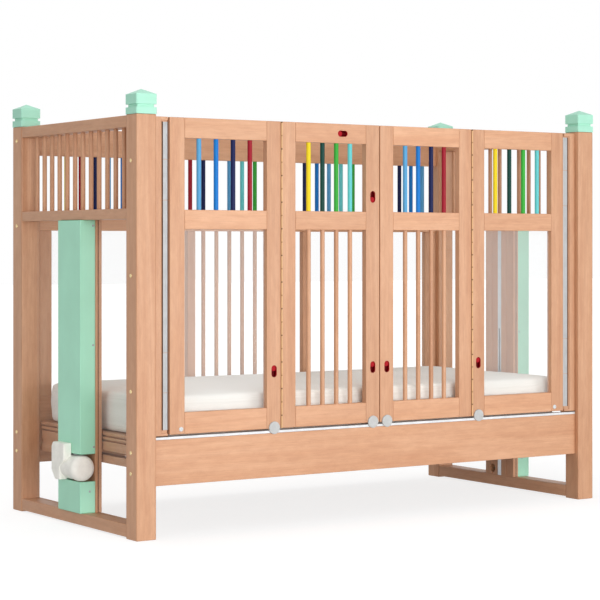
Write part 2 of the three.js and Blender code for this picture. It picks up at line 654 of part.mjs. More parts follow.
// A pair of folding doors with its jamb and hinges, drawn at +X.
function doorPair(group, { side, outer, inner, innerCuts, extraLatches }) {
  const outerCuts = [downBoltCut(latchX.outer)];
  const outerFrame = doorFrame(doorSpan.outer, { chamferX: outerDoorEdge, cuts: outerCuts });
  node(group, `${outer}_frame`, outerFrame, BEECH);
  node(group, `${outer}_rods`, doorRods(doorSpan.outer, { lower: false }), BEECH);
  node(group, `${outer}_pane`, doorPane(doorSpan.outer), ACRYLIC);
  node(group, `${outer}_stop`, doorStop(latchX.outer), STEEL);
  node(group, `${outer}_latch`, downBoltLatch(latchX.outer), LATCH_RED);

  const innerFrame = doorFrame(doorSpan.inner, { cuts: [downBoltCut(latchX.inner), ...innerCuts] });
  node(group, `${inner}_frame`, innerFrame, BEECH);
  node(group, `${inner}_rods`, doorRods(doorSpan.inner, { lower: true }), BEECH);
  node(group, `${inner}_stop`, doorStop(latchX.inner), STEEL);
  node(group, `${inner}_latch`, downBoltLatch(latchX.inner), LATCH_RED);
  for (const [name, solid] of extraLatches) {
    node(group, name, solid, LATCH_RED);
  }

  node(group, `${side}_fold_hinge`, foldHinge(), BRASS);
  node(group, `${side}_jamb`, jamb(), BEECH);
  node(group, `${side}_hinge_strip`, hingeStrip(), ALUMINIUM);
}

// The catch that ties the two door pairs together, in the top rail of the left inner door
const topLatchZ = doorTop - DOOR_TOP_RAIL / 2;
const topLatchX = TOP_LATCH_FROM_MIDDLE + LATCH_TRAVEL / 2;

function topLatch() {
  const shaft = bar("x", [bolt.y, topLatchZ], BOLT_DIAMETER, [doorSpan.inner[0] + BOLT_END_INSET, topLatchX]);
  return join([latchButton(topLatchX, topLatchZ), shaft]);
}

function topLatchCut() {
  const bore = bar("x", [bolt.y, topLatchZ], BOLT_BORE_DIAMETER, [0, TOP_LATCH_FROM_MIDDLE]);
  return join([latchPocket(TOP_LATCH_FROM_MIDDLE, topLatchZ, { along: "x" }), bore]);
}

// The hole in the facing door that takes the catch's bolt.
function topLatchKeeperCut() {
  const reach = doorSpan.inner[0] + LATCH_TRAVEL + BOLT_END_INSET;
  return bar("x", [bolt.y, topLatchZ], BOLT_BORE_DIAMETER, [0, reach]);
}

// The lock under the catch, in the stile: its pin rises towards the catch's bolt.
const upperPinTop = topLatchZ - BOLT_BORE_DIAMETER / 2 - LATCH_TRAVEL - UPPER_PIN_GAP;
const upperLatchZ = upperLatchHeight - LATCH_TRAVEL / 2;

function upperLatch() {
  const pin = bar("z", [latchX.inner, bolt.y], BOLT_DIAMETER, [upperLatchZ, upperPinTop]);
  return join([latchButton(latchX.inner, upperLatchZ), pin]);
}

function upperLatchCut() {
  const boreTop = upperPinTop + LATCH_TRAVEL + LAP;
  const bore = bar("z", [latchX.inner, bolt.y], BOLT_BORE_DIAMETER, [upperLatchHeight, boreTop]);
  return join([latchPocket(latchX.inner, upperLatchHeight), bore]);
}

// Boards under the doors and the back, and the latch rail

function lowerBoard(y) {
  const x = innerEnd - FIT;
  return block([-x, x], y, [BOARD_BOTTOM, boardTop]);
}

function latchRail() {
  const x = innerEnd - FIT;
  const rail = block([-x, x], [doorFront, doorBack], [boardTop + FIT, latchRailTop]);
  const holes = [latchX.outer, latchX.inner].flatMap((at) => [at, -at]);
  const half = BOLT_BORE_DIAMETER / 2 + LAP;
  return holes.reduce(
    (solid, at) =>
      solid.subtract(
        block([at - half, at + half], [bolt.y - half, bolt.y + half], [boardTop, latchRailTop + LAP]),
      ),
    rail,
  );
}

// The back: one glued lattice of rails, stiles and rods, with panes at both sides of its lower rods

const backMidY = (backY[0] + backY[1]) / 2;
const backEndStile = innerEnd - FIT - BACK_END_STILE_WIDTH;
const backLower = {
  bottom: boardTop + FIT,
  railTop: doorBottom + DOOR_BOTTOM_RAIL,
  midBottom: midRailTop - DOOR_MID_RAIL,
};

function backLattice() {
  const x = innerEnd - FIT;
  const topRailBottom = POST_HEIGHT - BACK_TOP_RAIL;
  const half = BACK_STILE_WIDTH / 2;
  const lowerZ = [backLower.railTop - LAP, backLower.midBottom + LAP];
  const upperZ = [midRailTop - LAP, topRailBottom + LAP];
  const stiles = [-BACK_STILE_FROM_MIDDLE, BACK_STILE_FROM_MIDDLE].map((at) =>
    block([at - half, at + half], backY, lowerZ),
  );
  const endStiles = [[-x, -backEndStile], [backEndStile, x]].map((stileX) => block(stileX, backY, lowerZ));
  const upperRods = spread(backRodCount, BACK_ROD_PITCH).map((at) =>
    bar("z", [at, backMidY], ROD_DIAMETER, upperZ),
  );
  const lowerRods = spread(BACK_LOWER_ROD_COUNT, BACK_ROD_PITCH).map((at) =>
    bar("z", [at, backMidY], ROD_DIAMETER, lowerZ),
  );
  return join([
    block([-x, x], backY, [topRailBottom, POST_HEIGHT - END_TOP_DROP]),
    block([-x, x], backY, [backLower.midBottom, midRailTop]),
    block([-x, x], backY, [backLower.bottom, backLower.railTop]),
    ...stiles,
    ...endStiles,
    ...upperRods,
    ...lowerRods,
  ]);
}

function backPane() {
  const inside = BACK_STILE_FROM_MIDDLE + BACK_STILE_WIDTH / 2 + FIT;
  const half = BACK_PANE_THICKNESS / 2;
  return block(
    [inside, backEndStile - FIT],
    [backMidY - half, backMidY + half],
    [backLower.railTop + FIT, backLower.midBottom - FIT],
  );
}

// The platform: a slatted deck frame on cross beams

function platform() {
  const x = platformEnd;
  const y = platformSide;
  const slatBottom = DECK_TOP - DECK_SLAT_THICKNESS;
  const frameZ = [beamTop, slatBottom + LAP];
  const battenZ = [beamTop + BATTEN_RISE, beamTop + BATTEN_RISE + BATTEN_HEIGHT];
  const beamZ = [beamBottom, beamTop + LAP];
  const lowerTop = beamBottom - LOWER_BEAM_DROP;
  const lowerZ = [lowerTop - LOWER_BEAM_HEIGHT, lowerTop];
  const slatPitch = (2 * x - DECK_SLAT_WIDTH) / (DECK_SLAT_COUNT - 1);
  const slats = spread(DECK_SLAT_COUNT, slatPitch).map((at) =>
    block([at - DECK_SLAT_WIDTH / 2, at + DECK_SLAT_WIDTH / 2], [-y, y], [slatBottom, DECK_TOP]),
  );
  const strip = (s, outer, width) => (s < 0 ? [-outer, -outer + width] : [outer - width, outer]);
  const sides = [-1, 1].flatMap((s) => {
    const frameX = strip(s, x - DECK_FRAME_RECESS, DECK_FRAME_WIDTH);
    const frameY = strip(s, y - DECK_FRAME_RECESS, DECK_FRAME_WIDTH);
    const beamX = strip(s, x, BEAM_WIDTH);
    const beamY = [-y + BEAM_INSET, y - BEAM_INSET];
    const spacerX = [beamX[0] + BEAM_BLOCK_INSET, beamX[1] - BEAM_BLOCK_INSET];
    return [
      block([-x + DECK_FRAME_RECESS, x - DECK_FRAME_RECESS], frameY, frameZ),
      block(frameX, [-y + DECK_FRAME_RECESS, y - DECK_FRAME_RECESS], frameZ),
      block([-x, x], strip(s, y, DECK_FRAME_WIDTH), battenZ),
      block(beamX, [-y, y], battenZ),
      block(beamX, beamY, beamZ),
      block(beamX, beamY, lowerZ),
      ...[-1, 1].map((t) => {
        const middle = t * (y - 2 * BEAM_INSET - BEAM_BLOCK_LENGTH / 2);
        const blockY = [middle - BEAM_BLOCK_LENGTH / 2, middle + BEAM_BLOCK_LENGTH / 2];
        return block(spacerX, blockY, [lowerTop - LAP, beamBottom + LAP]);
      }),
    ];
  });
  return join([...sides, ...slats]);
}

// The mattress: a soft box with a crowned top, drawn-in sides and round corners.
function mattress() {
  const columns = 4 * (MATTRESS_CORNER_STEPS + 1);
  const bottom = DECK_TOP + FIT;
  const top = bottom + MATTRESS_EDGE;
  const mostInset = mattressWidth * MATTRESS_MOST_INSET;
  const positions = [];
  const indices = [];
  const outline = (inset, turn) => {
    const quarter = Math.floor(turn / (MATTRESS_CORNER_STEPS + 1));
    const step = turn % (MATTRESS_CORNER_STEPS + 1);
    const angle = ((quarter + step / MATTRESS_CORNER_STEPS) * Math.PI) / 2;
    const radius = Math.max(MATTRESS_CORNER - inset, MATTRESS_LEAST_CORNER);
    const signX = quarter === 0 || quarter === 3 ? 1 : -1;
    const signY = quarter < 2 ? 1 : -1;
    return [
      signX * (mattressLength / 2 - inset - radius) + radius * Math.cos(angle),
      signY * (mattressWidth / 2 - inset - radius) + radius * Math.sin(angle),
    ];
  };
  const side = MATTRESS_SIDE.map(([rise, inset]) => [
    bottom + rise * MATTRESS_EDGE,
    inset * MATTRESS_EDGE_ROUND,
  ]);
  const crown = MATTRESS_TOP.map(([rise, inset]) => [
    top + rise * MATTRESS_CROWN,
    inset * MATTRESS_CORNER,
  ]);
  const layers = [...side, ...crown];
  for (const [z, inset] of layers) {
    for (let turn = 0; turn < columns; turn++) {
      positions.push(...outline(Math.min(inset, mostInset), turn), z);
    }
  }
  for (let layer = 0; layer + 1 < layers.length; layer++) {
    for (let turn = 0; turn < columns; turn++) {
      const a = layer * columns + turn;
      const b = layer * columns + ((turn + 1) % columns);
      indices.push(a, b, b + columns, a, b + columns, a + columns);
    }
  }
  const under = positions.length / 3;
  positions.push(0, 0, bottom, 0, 0, top + MATTRESS_CROWN);
  const last = (layers.length - 1) * columns;
  for (let turn = 0; turn < columns; turn++) {
    const next = (turn + 1) % columns;
    indices.push(under, next, turn, under + 1, last + turn, last + next);
  }
  const soft = new THREE.BufferGeometry();
  soft.setAttribute("position", new THREE.Float32BufferAttribute(positions, 3));
  soft.setIndex(indices);
  return solidOf(soft);
}

// Assembly: what is drawn at +X is the right side, and the left side is its mirror image

const cot = new THREE.Group();
const right = new THREE.Group();
const left = new THREE.Group();
left.scale.x = -1;
cot.add(right, left);

const corners = [["front_left", -1, -1], ["front_right", 1, -1], ["rear_left", -1, 1], ["rear_right", 1, 1]];
for (const [name, x, y] of corners) {
  postAndCap(cot, name, x, y);
}

cotEnd(right, "right");
cotEnd(left, "left");

doorPair(left, {
  side: "left",
  outer: "door_1",
  inner: "door_2",
  innerCuts: [topLatchCut(), upperLatchCut()],
  extraLatches: [["door_2_top_latch", topLatch()], ["door_2_upper_latch", upperLatch()]],
});
doorPair(right, {
  side: "right",
  outer: "door_4",
  inner: "door_3",
  innerCuts: [topLatchKeeperCut()],
  extraLatches: [],
});

node(cot, "front_board", lowerBoard([doorFront, doorFront + BOARD_THICKNESS]), BEECH);
node(cot, "latch_rail", latchRail(), ALUMINIUM);
node(cot, "back_board", lowerBoard([backOuter - BOARD_THICKNESS, backOuter]), BEECH);
node(cot, "back_lattice", backLattice(), BEECH);
node(right, "back_pane_right", backPane(), ACRYLIC);
node(left, "back_pane_left", backPane(), ACRYLIC);
node(cot, "platform", platform(), BEECH);
node(cot, "mattress", mattress(), SHEET_WHITE);

export default cot;
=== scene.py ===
"""Looks of a children's hospital cot: wood, paint, metal, clear panels, mattress, light and camera."""
import math

import bmesh
import bpy
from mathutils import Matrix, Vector


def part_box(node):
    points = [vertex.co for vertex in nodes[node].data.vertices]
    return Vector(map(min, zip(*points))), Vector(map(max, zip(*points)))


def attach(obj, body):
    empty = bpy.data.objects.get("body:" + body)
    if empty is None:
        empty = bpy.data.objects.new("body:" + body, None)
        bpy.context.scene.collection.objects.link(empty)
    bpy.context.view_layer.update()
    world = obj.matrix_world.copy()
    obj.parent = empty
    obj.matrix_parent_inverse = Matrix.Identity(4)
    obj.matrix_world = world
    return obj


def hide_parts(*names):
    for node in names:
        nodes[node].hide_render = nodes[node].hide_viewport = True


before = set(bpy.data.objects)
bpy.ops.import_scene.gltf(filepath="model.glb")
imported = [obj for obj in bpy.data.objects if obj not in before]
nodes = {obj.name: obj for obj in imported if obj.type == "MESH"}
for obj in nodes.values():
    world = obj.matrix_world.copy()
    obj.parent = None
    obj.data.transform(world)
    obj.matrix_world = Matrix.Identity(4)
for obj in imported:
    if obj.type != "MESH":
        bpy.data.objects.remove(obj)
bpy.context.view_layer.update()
scene = bpy.context.scene

# Camera, matched to the photograph (metres, degrees, and pixels of a 600 pixel frame)
CAMERA_PLACE = (-4.492, -6.717, 1.072)
CAMERA_TURN = 33.488
IMAGE_SIZE = 600
FOCAL_PIXELS = 1953.7
HORIZON_ROW = 244.42
SIDE_SHIFT = 0.00125
SENSOR = 36.0
SIGHT_END = 200

# Lights: place and target in metres, diameter in metres and power in watts
LIGHTS = {
    "key": ((-3.4, -10.4, 1.0), (0, 0, 0.6), 6.0, 585),
    "front": ((4.5, -8.5, 0.9), (0, 0, 0.6), 4.0, 300),
    "low": ((-0.2, -4.2, 0.3), (0, 0, 0.3), 2.0, 33),
    "fill": ((-6.0, -3.0, 0.9), (0, 0, 0.7), 3.5, 64),
    "top": ((-0.5, 0.8, 6.0), (0, 0, 0.4), 4.0, 88),
}
WORLD_LIGHT = 0.45
WHITE = (1, 1, 1, 1)

# Floor: greys for hidden and seen rays, and a glow that reaches full white away from the cot
FLOOR_HALF = 40
FLOOR_GREY = (0.62, 0.62, 0.62, 1)
FLOOR_SEEN_GREY = (0.34, 0.34, 0.34, 1)
FLOOR_NEAR = 1.5
FLOOR_FAR = 5.0
FLOOR_GLOW = 0.775

# Sizes of the woodwork, in metres
STILE = 0.064
TOP_RAIL = 0.0755
MIDDLE_RAIL = (1.128, 1.1995)
BOTTOM_RAIL = 0.079
ROD = 0.018
ROD_TENON = 0.008
ROD_EASE = 0.001
BACK_TOP_RAIL = 0.111
BACK_BOTTOM_RAIL = 0.0977
BACK_STILE = 0.038
BACK_STILE_PLACE = 0.293
BACK_END_STILE = 0.062
BACK_ROD_PITCH = 0.065
BACK_ROD_COUNT = 30
BACK_LOW_ROD_COUNT = 8
END_TOP_RAIL = 0.0425
END_MIDDLE_RAIL = 0.0385
END_ROD_PITCH = 0.0663
END_ROD_COUNT = 13
END_ROD_SHIFT = -0.019
DOOR_ROD_COUNT = 4
DOOR_ROD_END_GAP = 0.0675
JAMB_FACE = -0.500
# Height of the dark strip at each jamb's foot: painted shade of the gap above the rail
JAMB_SHADE_HEIGHT = 0.0045
FIT = 0.0003

# Eased edges, and the angle from which an edge counts as sharp
EDGE = 0.0022
POST_EDGE = 0.003
COVER_EDGE = 0.003
CAP_EDGE = 0.004
THIN_EDGE = 0.0015
METAL_EDGE = 0.0008
PANE_EDGE = 0.0006
PANE_SHADE_EDGE = 0.0003
HAIRLINE_EDGE = 0.0001
WELD_GAP = 0.00002
DRESSED_ANGLE = math.radians(40)
TURNED_ANGLE = math.radians(50)
PRISM_ANGLE = math.radians(25)

# Colours of the rods in the doors, from the left, and of the back's rods, with the ones that differ
COOL_RODS = ("light_blue", "blue", "navy", "red")
WARM_RODS = ("yellow", "dark_green", "green", "turquoise")
BACK_RODS = ("navy", "blue", "light_blue", "turquoise", "green", "dark_green", "yellow", "red")
BACK_RODS_START = 11
BACK_LEFT_COLOURS = {4: "light_blue", 5: "blue"}

# Doors: the body that each rides on, its latch's body, and its rods
DOORS = {
    "door_1": ("left_outer_door", "latch_1", COOL_RODS),
    "door_2": ("left_inner_door", "latch_2", WARM_RODS),
    "door_3": ("right_inner_door", "latch_3", COOL_RODS),
    "door_4": ("right_outer_door", "latch_4", WARM_RODS),
}

# Latches
LATCH_Z = 0.592
LATCH_REST = 0.011
UPPER_LATCH_Z = 1.258
TOP_LATCH_X = -0.177
LATCH_WIDTH = 0.022
LATCH_LENGTH = 0.044
LATCH_DEPTH = 0.017
POCKET_LEAD = 0.01
LINER_WALL = 0.0009
LINER_PROUD = 0.0006
LATCH_LINER_DEPTH = 0.0088
BUTTON_SIDE = 0.0212
BUTTON_STRETCH = 1.02
BUTTON_DEPTHS = (0.003, 0.015)
BUTTON_EDGE = 0.0016
LATCH_TRAVEL = 0.022
LATCH_BOLT = 0.008
BOLT_ROOT = 0.004
BOLT_TIP = 0.0015
BOLT_BORE = 0.0094
BOLT_DEPTH = 0.0121
KEEPER_DEPTH = 0.028
BORE_MARGIN = 0.002

# Door stops: distances behind the face with insets from the rim, then with shares of the radius
STOP_RIM = ((0.0018, 0), (0.0005, 0.0006), (0, 0.002))
STOP_HOLE = ((0, 0.3), (0.0008, 0.26), (0.0008, 0))

# Heads of bolts, screws and bumpers: shares of the height and of the radius
HEAD_SHAPE = ((0, 1), (0.45, 1), (0.8, 0.86), (1, 0.6), (1, 0.34), (0.35, 0.30), (0.35, 0))
HEAD_SINK = 0.002
BUMPER = 0.017
BUMPER_HEIGHT = 0.004
BUMPER_PLACE = (0.899, 0.394)
POST_BOLT = 0.014
POST_BOLT_HEIGHT = 0.003
POST_FACE = 1.095
POST_BOLTS = {-0.476: (1.376, 0.958, 0.538, 0.316, 0.240), 0.483: (1.488, 1.146, 0.316, 0.240)}
SCREW = 0.008
SCREW_HEIGHT = 0.002
COLUMN_HALF = 0.093
COVER_SCREWS = ((1.049, 1.143), (1.049, 0.689), (1.046, 0.302), (1.0635, 0.134))

# Hinge strips at the jambs
STRIP_INNER = 0.9537
STRIP_OUTER = 0.9770
STRIP_BACK = -0.4945
STRIP_JOINTS = (0.530, 0.676, 1.234, 1.383)
STRIP_JOINT_GAP = 0.0008
STRIP_FOOT = 0.0115
STRIP_HEAD = 0.0045
STRIP_RECESS = 0.0042
# Width of the dark strip on the groove's outer wall: painted shade
STRIP_SHADE = 0.0048
STRIP_GROOVES = (0.2, 0.5, 0.8)
GROOVE_DEPTH = 0.0009
GROOVE_MOUTH = 0.0013
GROOVE_FLOOR = 0.0009
STRIP_BARREL_PLACE = (0.9502, -0.497)
STRIP_BARREL_RADIUS = 0.003
STRIP_BARREL_EASE = 0.0004

# Fold hinges between the doors
FOLD_X = 0.46
FOLD_RADIUS = 0.0028
KNUCKLE = 0.051
KNUCKLE_EASE = 0.0002
KNUCKLE_COLLAR = 0.005
COLLAR_INSET = 0.0003
LEAF_SPAN = (0.00005, 0.00095)

# Dark strips beside the guide boards: painted shade of the gap at the clear panel's edge
PANE_SHADE_SPAN = (1.0272, 1.0300)
PANE_SHADE_DEPTH = 0.0012

# Lift motor: profiles are (distance along the axis, radius), the gearbox's outline is (y, z)
MOTOR_AXIS = (1.0895, 0.222)
MOTOR_BARREL_START = 0.060
MOTOR_BARREL = (
    (0, 0),
    (0, 0.024),
    (0, 0.041),
    (0.006, 0.0465),
    (0.124, 0.0465),
    (0.127, 0.045),
    (0.128, 0),
)
MOTOR_CAP_START = -0.067
MOTOR_CAP = (
    (0, 0),
    (0, 0.0475),
    (0.001, 0.0495),
    (0.012, 0.0495),
    (0.019, 0.0483),
    (0.025, 0.0455),
    (0.0295, 0.0405),
    (0.0325, 0.0335),
    (0.034, 0.0235),
    (0.034, 0.006),
    (0.0332, 0.0052),
    (0.0332, 0),
)
GEARBOX_SPAN = (1.1043, 1.139)
GEARBOX_EDGE = 0.005
GEARBOX_OUTLINE = (
    (0.012, 0.1725),
    (0.052, 0.1725),
    (0.082, 0.2065),
    (0.082, 0.299),
    (0.070, 0.315),
    (-0.024, 0.315),
    (-0.024, 0.252),
    (0.012, 0.226),
)
TUBE_X = 1.0767
TUBE_START = 0.222
TUBE_RADIUS = 0.018
TUBE_EASE = 0.001

# Mattress: its solid's edge height, the sheet's edge height and crown, and the gathers at its corners
MATTRESS_START = 0.992
MATTRESS_LIFT = 0.002
MATTRESS_VOXEL = 0.014
MATTRESS_CAP = 0.009
MATTRESS_EDGE = 0.146
MATTRESS_SIDE = 0.152
MATTRESS_CROWN = 0.3
CLOTH_FRAMES = 20
PLEAT_HEIGHT = 0.005
PLEAT_REACH = 0.15
PLEAT_RISE = 11
PLEAT_FAN = 75


def rgb(red, green, blue):
    """A colour written as it looks, from 0 to 255, turned into the numbers that shaders use."""

    def linear(value):
        share = value / 255
        if share <= 0.04045:
            return share / 12.92
        return ((share + 0.055) / 1.055) ** 2.4

    return (linear(red), linear(green), linear(blue), 1.0)


PLAIN = rgb(255, 255, 255)


def shade(colour, times):
    """A colour made darker or lighter, no lighter than white."""
    return (*(min(1.0, part * times) for part in colour[:3]), 1.0)


class Graph:
    """A material's node tree, with short calls to add and link nodes."""

    def __init__(self, name):
        self.material = bpy.data.materials.new(name)
        self.material.use_nodes = True
        self.tree = self.material.node_tree
        self.shader = self.tree.nodes["Principled BSDF"]

    def add(self, kind, **settings):
        """A new node, with its settings."""
        made = self.tree.nodes.new("ShaderNode" + kind)
        for key, value in settings.items():
            setattr(made, key, value)
        return made

    def link(self, source, target):
        self.tree.links.new(source, target)

    def set(self, **values):
        """Values on the shader's own sockets."""
        for key, value in values.items():
            self.shader.inputs[key.replace("_", " ")].default_value = value

    def place(self):
        """Object coordinates, moved to a place of its own for each piece."""
        coordinates = self.add("TexCoord")
        info = self.add("ObjectInfo")
        moved = self.add("VectorMath", operation="MULTIPLY_ADD")
        self.link(info.outputs["Random"], moved.inputs[0])
        moved.inputs[1].default_value = (17.0, 23.0, 31.0)
        self.link(coordinates.outputs["Object"], moved.inputs[2])
        return moved.outputs[0]

    def noise(self, place, scale, detail=4.0, roughness=0.55, distortion=0.0):
        """Noise with its own scale along each axis."""
        mapping = self.add("Mapping")
        mapping.inputs["Scale"].default_value = scale
        self.link(place, mapping.inputs["Vector"])
        made = self.add("TexNoise")
        made.inputs["Scale"].default_value = 1.0
        made.inputs["Detail"].default_value = detail
        made.inputs["Roughness"].default_value = roughness
        made.inputs["Distortion"].default_value = distortion
        self.link(mapping.outputs[0], made.inputs["Vector"])
        return made.outputs["Fac"]

    def ramp(self, factor, stops):
        """Colours at stops along a factor."""
        made = self.add("ValToRGB")
        ramp = made.color_ramp
        while len(ramp.elements) < len(stops):
            ramp.elements.new(0.5)
        for element, (position, colour) in zip(ramp.elements, stops):
            element.position = position
            element.color = colour
        self.link(factor, made.inputs["Fac"])
        return made.outputs["Color"]

    def spread(self, value, low, high, from_low=0.3, from_high=0.7):
        """A value stretched from one range to another."""
        made = self.add("MapRange")
        made.inputs["From Min"].default_value = from_low
        made.inputs["From Max"].default_value = from_high
        made.inputs["To Min"].default_value = low
        made.inputs["To Max"].default_value = high
        self.link(value, made.inputs["Value"])
        return made.outputs[0]

    def multiply(self, factor, first, second):
        """The first colour darkened by the second."""
        made = self.add("Mix", data_type="RGBA", blend_type="MULTIPLY")
        made.inputs["Factor"].default_value = factor
        self.link(first, made.inputs[6])
        self.link(second, made.inputs[7])
        return made.outputs[2]

    def bump(self, height, strength, distance):
        """Fine relief on the surface."""
        made = self.add("Bump")
        made.inputs["Strength"].default_value = strength
        made.inputs["Distance"].default_value = distance
        self.link(height, made.inputs["Height"])
        self.link(made.outputs[0], self.shader.inputs["Normal"])

    def colour(self, output):
        self.link(output, self.shader.inputs["Base Color"])

    def rough(self, value, low, high):
        self.link(self.spread(value, low, high), self.shader.inputs["Roughness"])


def along(axis, long, across):
    """Noise scales with one value along an axis and another across it."""
    return tuple(long if index == axis else across for index in range(3))


def beech(name, axis, tone):
    """Steamed beech: soft growth bands, fine fibres and short dark ray flecks along the grain."""
    graph = Graph(name)
    place = graph.place()
    bands = graph.noise(place, along(axis, 0.9, 17.0), 5.0, 0.6, 0.9)
    fibres = graph.noise(place, along(axis, 9.0, 260.0), 3.0, 0.6)
    flecks = graph.noise(place, along(axis, 130.0, 900.0), 1.0, 0.4)
    figure = graph.noise(place, along(axis, 14.0, 48.0), 3.0, 0.6, 0.4)
    patches = graph.noise(place, along(axis, 1.6, 5.0), 2.0, 0.5)
    wood = graph.ramp(
        bands,
        [
            (0.28, rgb(199, 146, 110)),
            (0.47, rgb(207, 157, 121)),
            (0.60, rgb(212, 164, 129)),
            (0.75, rgb(204, 153, 117)),
        ],
    )
    fibre_tone = graph.ramp(fibres, [(0.3, rgb(238, 232, 228)), (0.7, PLAIN)])
    fleck_tone = graph.ramp(flecks, [(0.62, PLAIN), (0.78, rgb(228, 214, 204))])
    figure_tone = graph.ramp(figure, [(0.35, rgb(244, 239, 235)), (0.65, PLAIN)])
    patch_tone = graph.ramp(patches, [(0.3, rgb(246, 242, 238)), (0.7, PLAIN)])
    toned = graph.multiply(0.7, wood, fibre_tone)
    toned = graph.multiply(0.5, toned, fleck_tone)
    toned = graph.multiply(0.8, toned, figure_tone)
    toned = graph.multiply(0.9, toned, patch_tone)
    own = graph.add("HueSaturation")
    info = graph.add("ObjectInfo")
    own_tone = graph.spread(info.outputs["Random"], tone - 0.04, tone + 0.04, 0.0, 1.0)
    graph.link(own_tone, own.inputs["Value"])
    graph.link(toned, own.inputs["Color"])
    graph.colour(own.outputs[0])
    graph.rough(fibres, 0.40, 0.54)
    graph.bump(fibres, 0.10, 0.0006)
    graph.set(Specular_IOR_Level=0.42, Coat_Weight=0.08, Coat_Roughness=0.3)
    return graph.material


def paint(name, colour):
    """Thin satin paint on a turned rod, with the wood's fibres showing faintly."""
    graph = Graph(name)
    place = graph.place()
    fibres = graph.noise(place, (420.0, 420.0, 9.0), 3.0)
    cloud = graph.noise(place, (14.0, 14.0, 3.0), 3.0)
    tone = graph.ramp(cloud, [(0.3, shade(colour, 0.90)), (0.7, shade(colour, 1.06))])
    streak = graph.ramp(fibres, [(0.3, rgb(240, 240, 240)), (0.7, PLAIN)])
    graph.colour(graph.multiply(0.8, tone, streak))
    graph.rough(fibres, 0.28, 0.42)
    graph.bump(fibres, 0.08, 0.0004)
    graph.set(Specular_IOR_Level=0.12)
    return graph.material


def lacquer(name, colour, grain):
    """Sprayed paint with a fine pebbled skin and slightly lighter and darker clouds."""
    graph = Graph(name)
    place = graph.place()
    skin = graph.noise(place, (grain, grain, grain), 2.0)
    cloud = graph.noise(place, (5.0, 5.0, 5.0), 3.0)
    graph.colour(graph.ramp(cloud, [(0.3, shade(colour, 0.94)), (0.7, shade(colour, 1.04))]))
    graph.rough(skin, 0.34, 0.48)
    graph.bump(skin, 0.12, 0.0004)
    return graph.material


def brushed(name, colour, axis, low, high, metallic=0.85):
    """Metal drawn or brushed along one axis, with faint clouds of handling marks."""
    graph = Graph(name)
    place = graph.place()
    lines = graph.noise(place, along(axis, 4.0, 900.0), 3.0)
    cloud = graph.noise(place, (22.0, 22.0, 22.0), 3.0)
    tone = graph.ramp(cloud, [(0.3, shade(colour, 0.90)), (0.7, shade(colour, 1.05))])
    streak = graph.ramp(lines, [(0.3, rgb(222, 222, 222)), (0.7, PLAIN)])
    graph.colour(graph.multiply(0.8, tone, streak))
    graph.rough(lines, low, high)
    graph.bump(lines, 0.10, 0.0003)
    graph.set(Metallic=metallic)
    return graph.material


def plastic(name, colour, low, high, grain, shine=0.5):
    """Moulded plastic with a fine spark-eroded skin."""
    graph = Graph(name)
    place = graph.place()
    skin = graph.noise(place, (grain, grain, grain), 3.0)
    cloud = graph.noise(place, (30.0, 30.0, 30.0), 2.0)
    graph.colour(graph.ramp(cloud, [(0.3, shade(colour, 0.92)), (0.7, shade(colour, 1.03))]))
    graph.rough(skin, low, high)
    graph.bump(skin, 0.15, 0.0003)
    graph.set(Specular_IOR_Level=shine)
    return graph.material


def clear_sheet(name, haze):
    """Clear acrylic with a milky haze and faint smears."""
    graph = Graph(name)
    place = graph.place()
    smear = graph.noise(place, (3.0, 3.0, 1.2), 4.0, 0.6, 0.6)
    graph.colour(graph.ramp(smear, [(0.3, rgb(238, 244, 246)), (0.7, rgb(250, 252, 252))]))
    graph.rough(smear, 0.07, 0.16)
    graph.set(Alpha=haze, Specular_IOR_Level=0.25)
    return graph.material


def cover_cloth(name):
    """A plain woven fitted sheet: crossing threads, slubs and soft uneven shade."""
    graph = Graph(name)
    coordinates = graph.add("TexCoord")
    threads = []
    for direction in ("X", "Y"):
        wave = graph.add("TexWave", bands_direction=direction)
        wave.inputs["Scale"].default_value = 150.0
        wave.inputs["Distortion"].default_value = 1.2
        wave.inputs["Detail"].default_value = 1.0
        graph.link(coordinates.outputs["Object"], wave.inputs["Vector"])
        threads.append(wave.outputs["Fac"])
    weave = graph.add("Math", operation="MULTIPLY")
    graph.link(threads[0], weave.inputs[0])
    graph.link(threads[1], weave.inputs[1])
    cloud = graph.noise(coordinates.outputs["Object"], (3.0, 3.0, 5.0), 4.0)
    slub = graph.noise(coordinates.outputs["Object"], (60.0, 400.0, 400.0), 2.0)
    tone = graph.ramp(cloud, [(0.3, rgb(250, 249, 244)), (0.7, rgb(254, 253, 249))])
    thread_tone = graph.ramp(weave.outputs[0], [(0.0, rgb(240, 240, 238)), (0.8, PLAIN)])
    slub_tone = graph.ramp(slub, [(0.3, rgb(248, 247, 245)), (0.7, PLAIN)])
    toned = graph.multiply(0.8, tone, thread_tone)
    graph.colour(graph.multiply(0.7, toned, slub_tone))
    graph.bump(weave.outputs[0], 0.12, 0.0004)
    graph.rough(cloud, 0.82, 0.92)
    graph.set(Sheen_Weight=0.15, Sheen_Roughness=0.5, Specular_IOR_Level=0.2)
    return graph.material


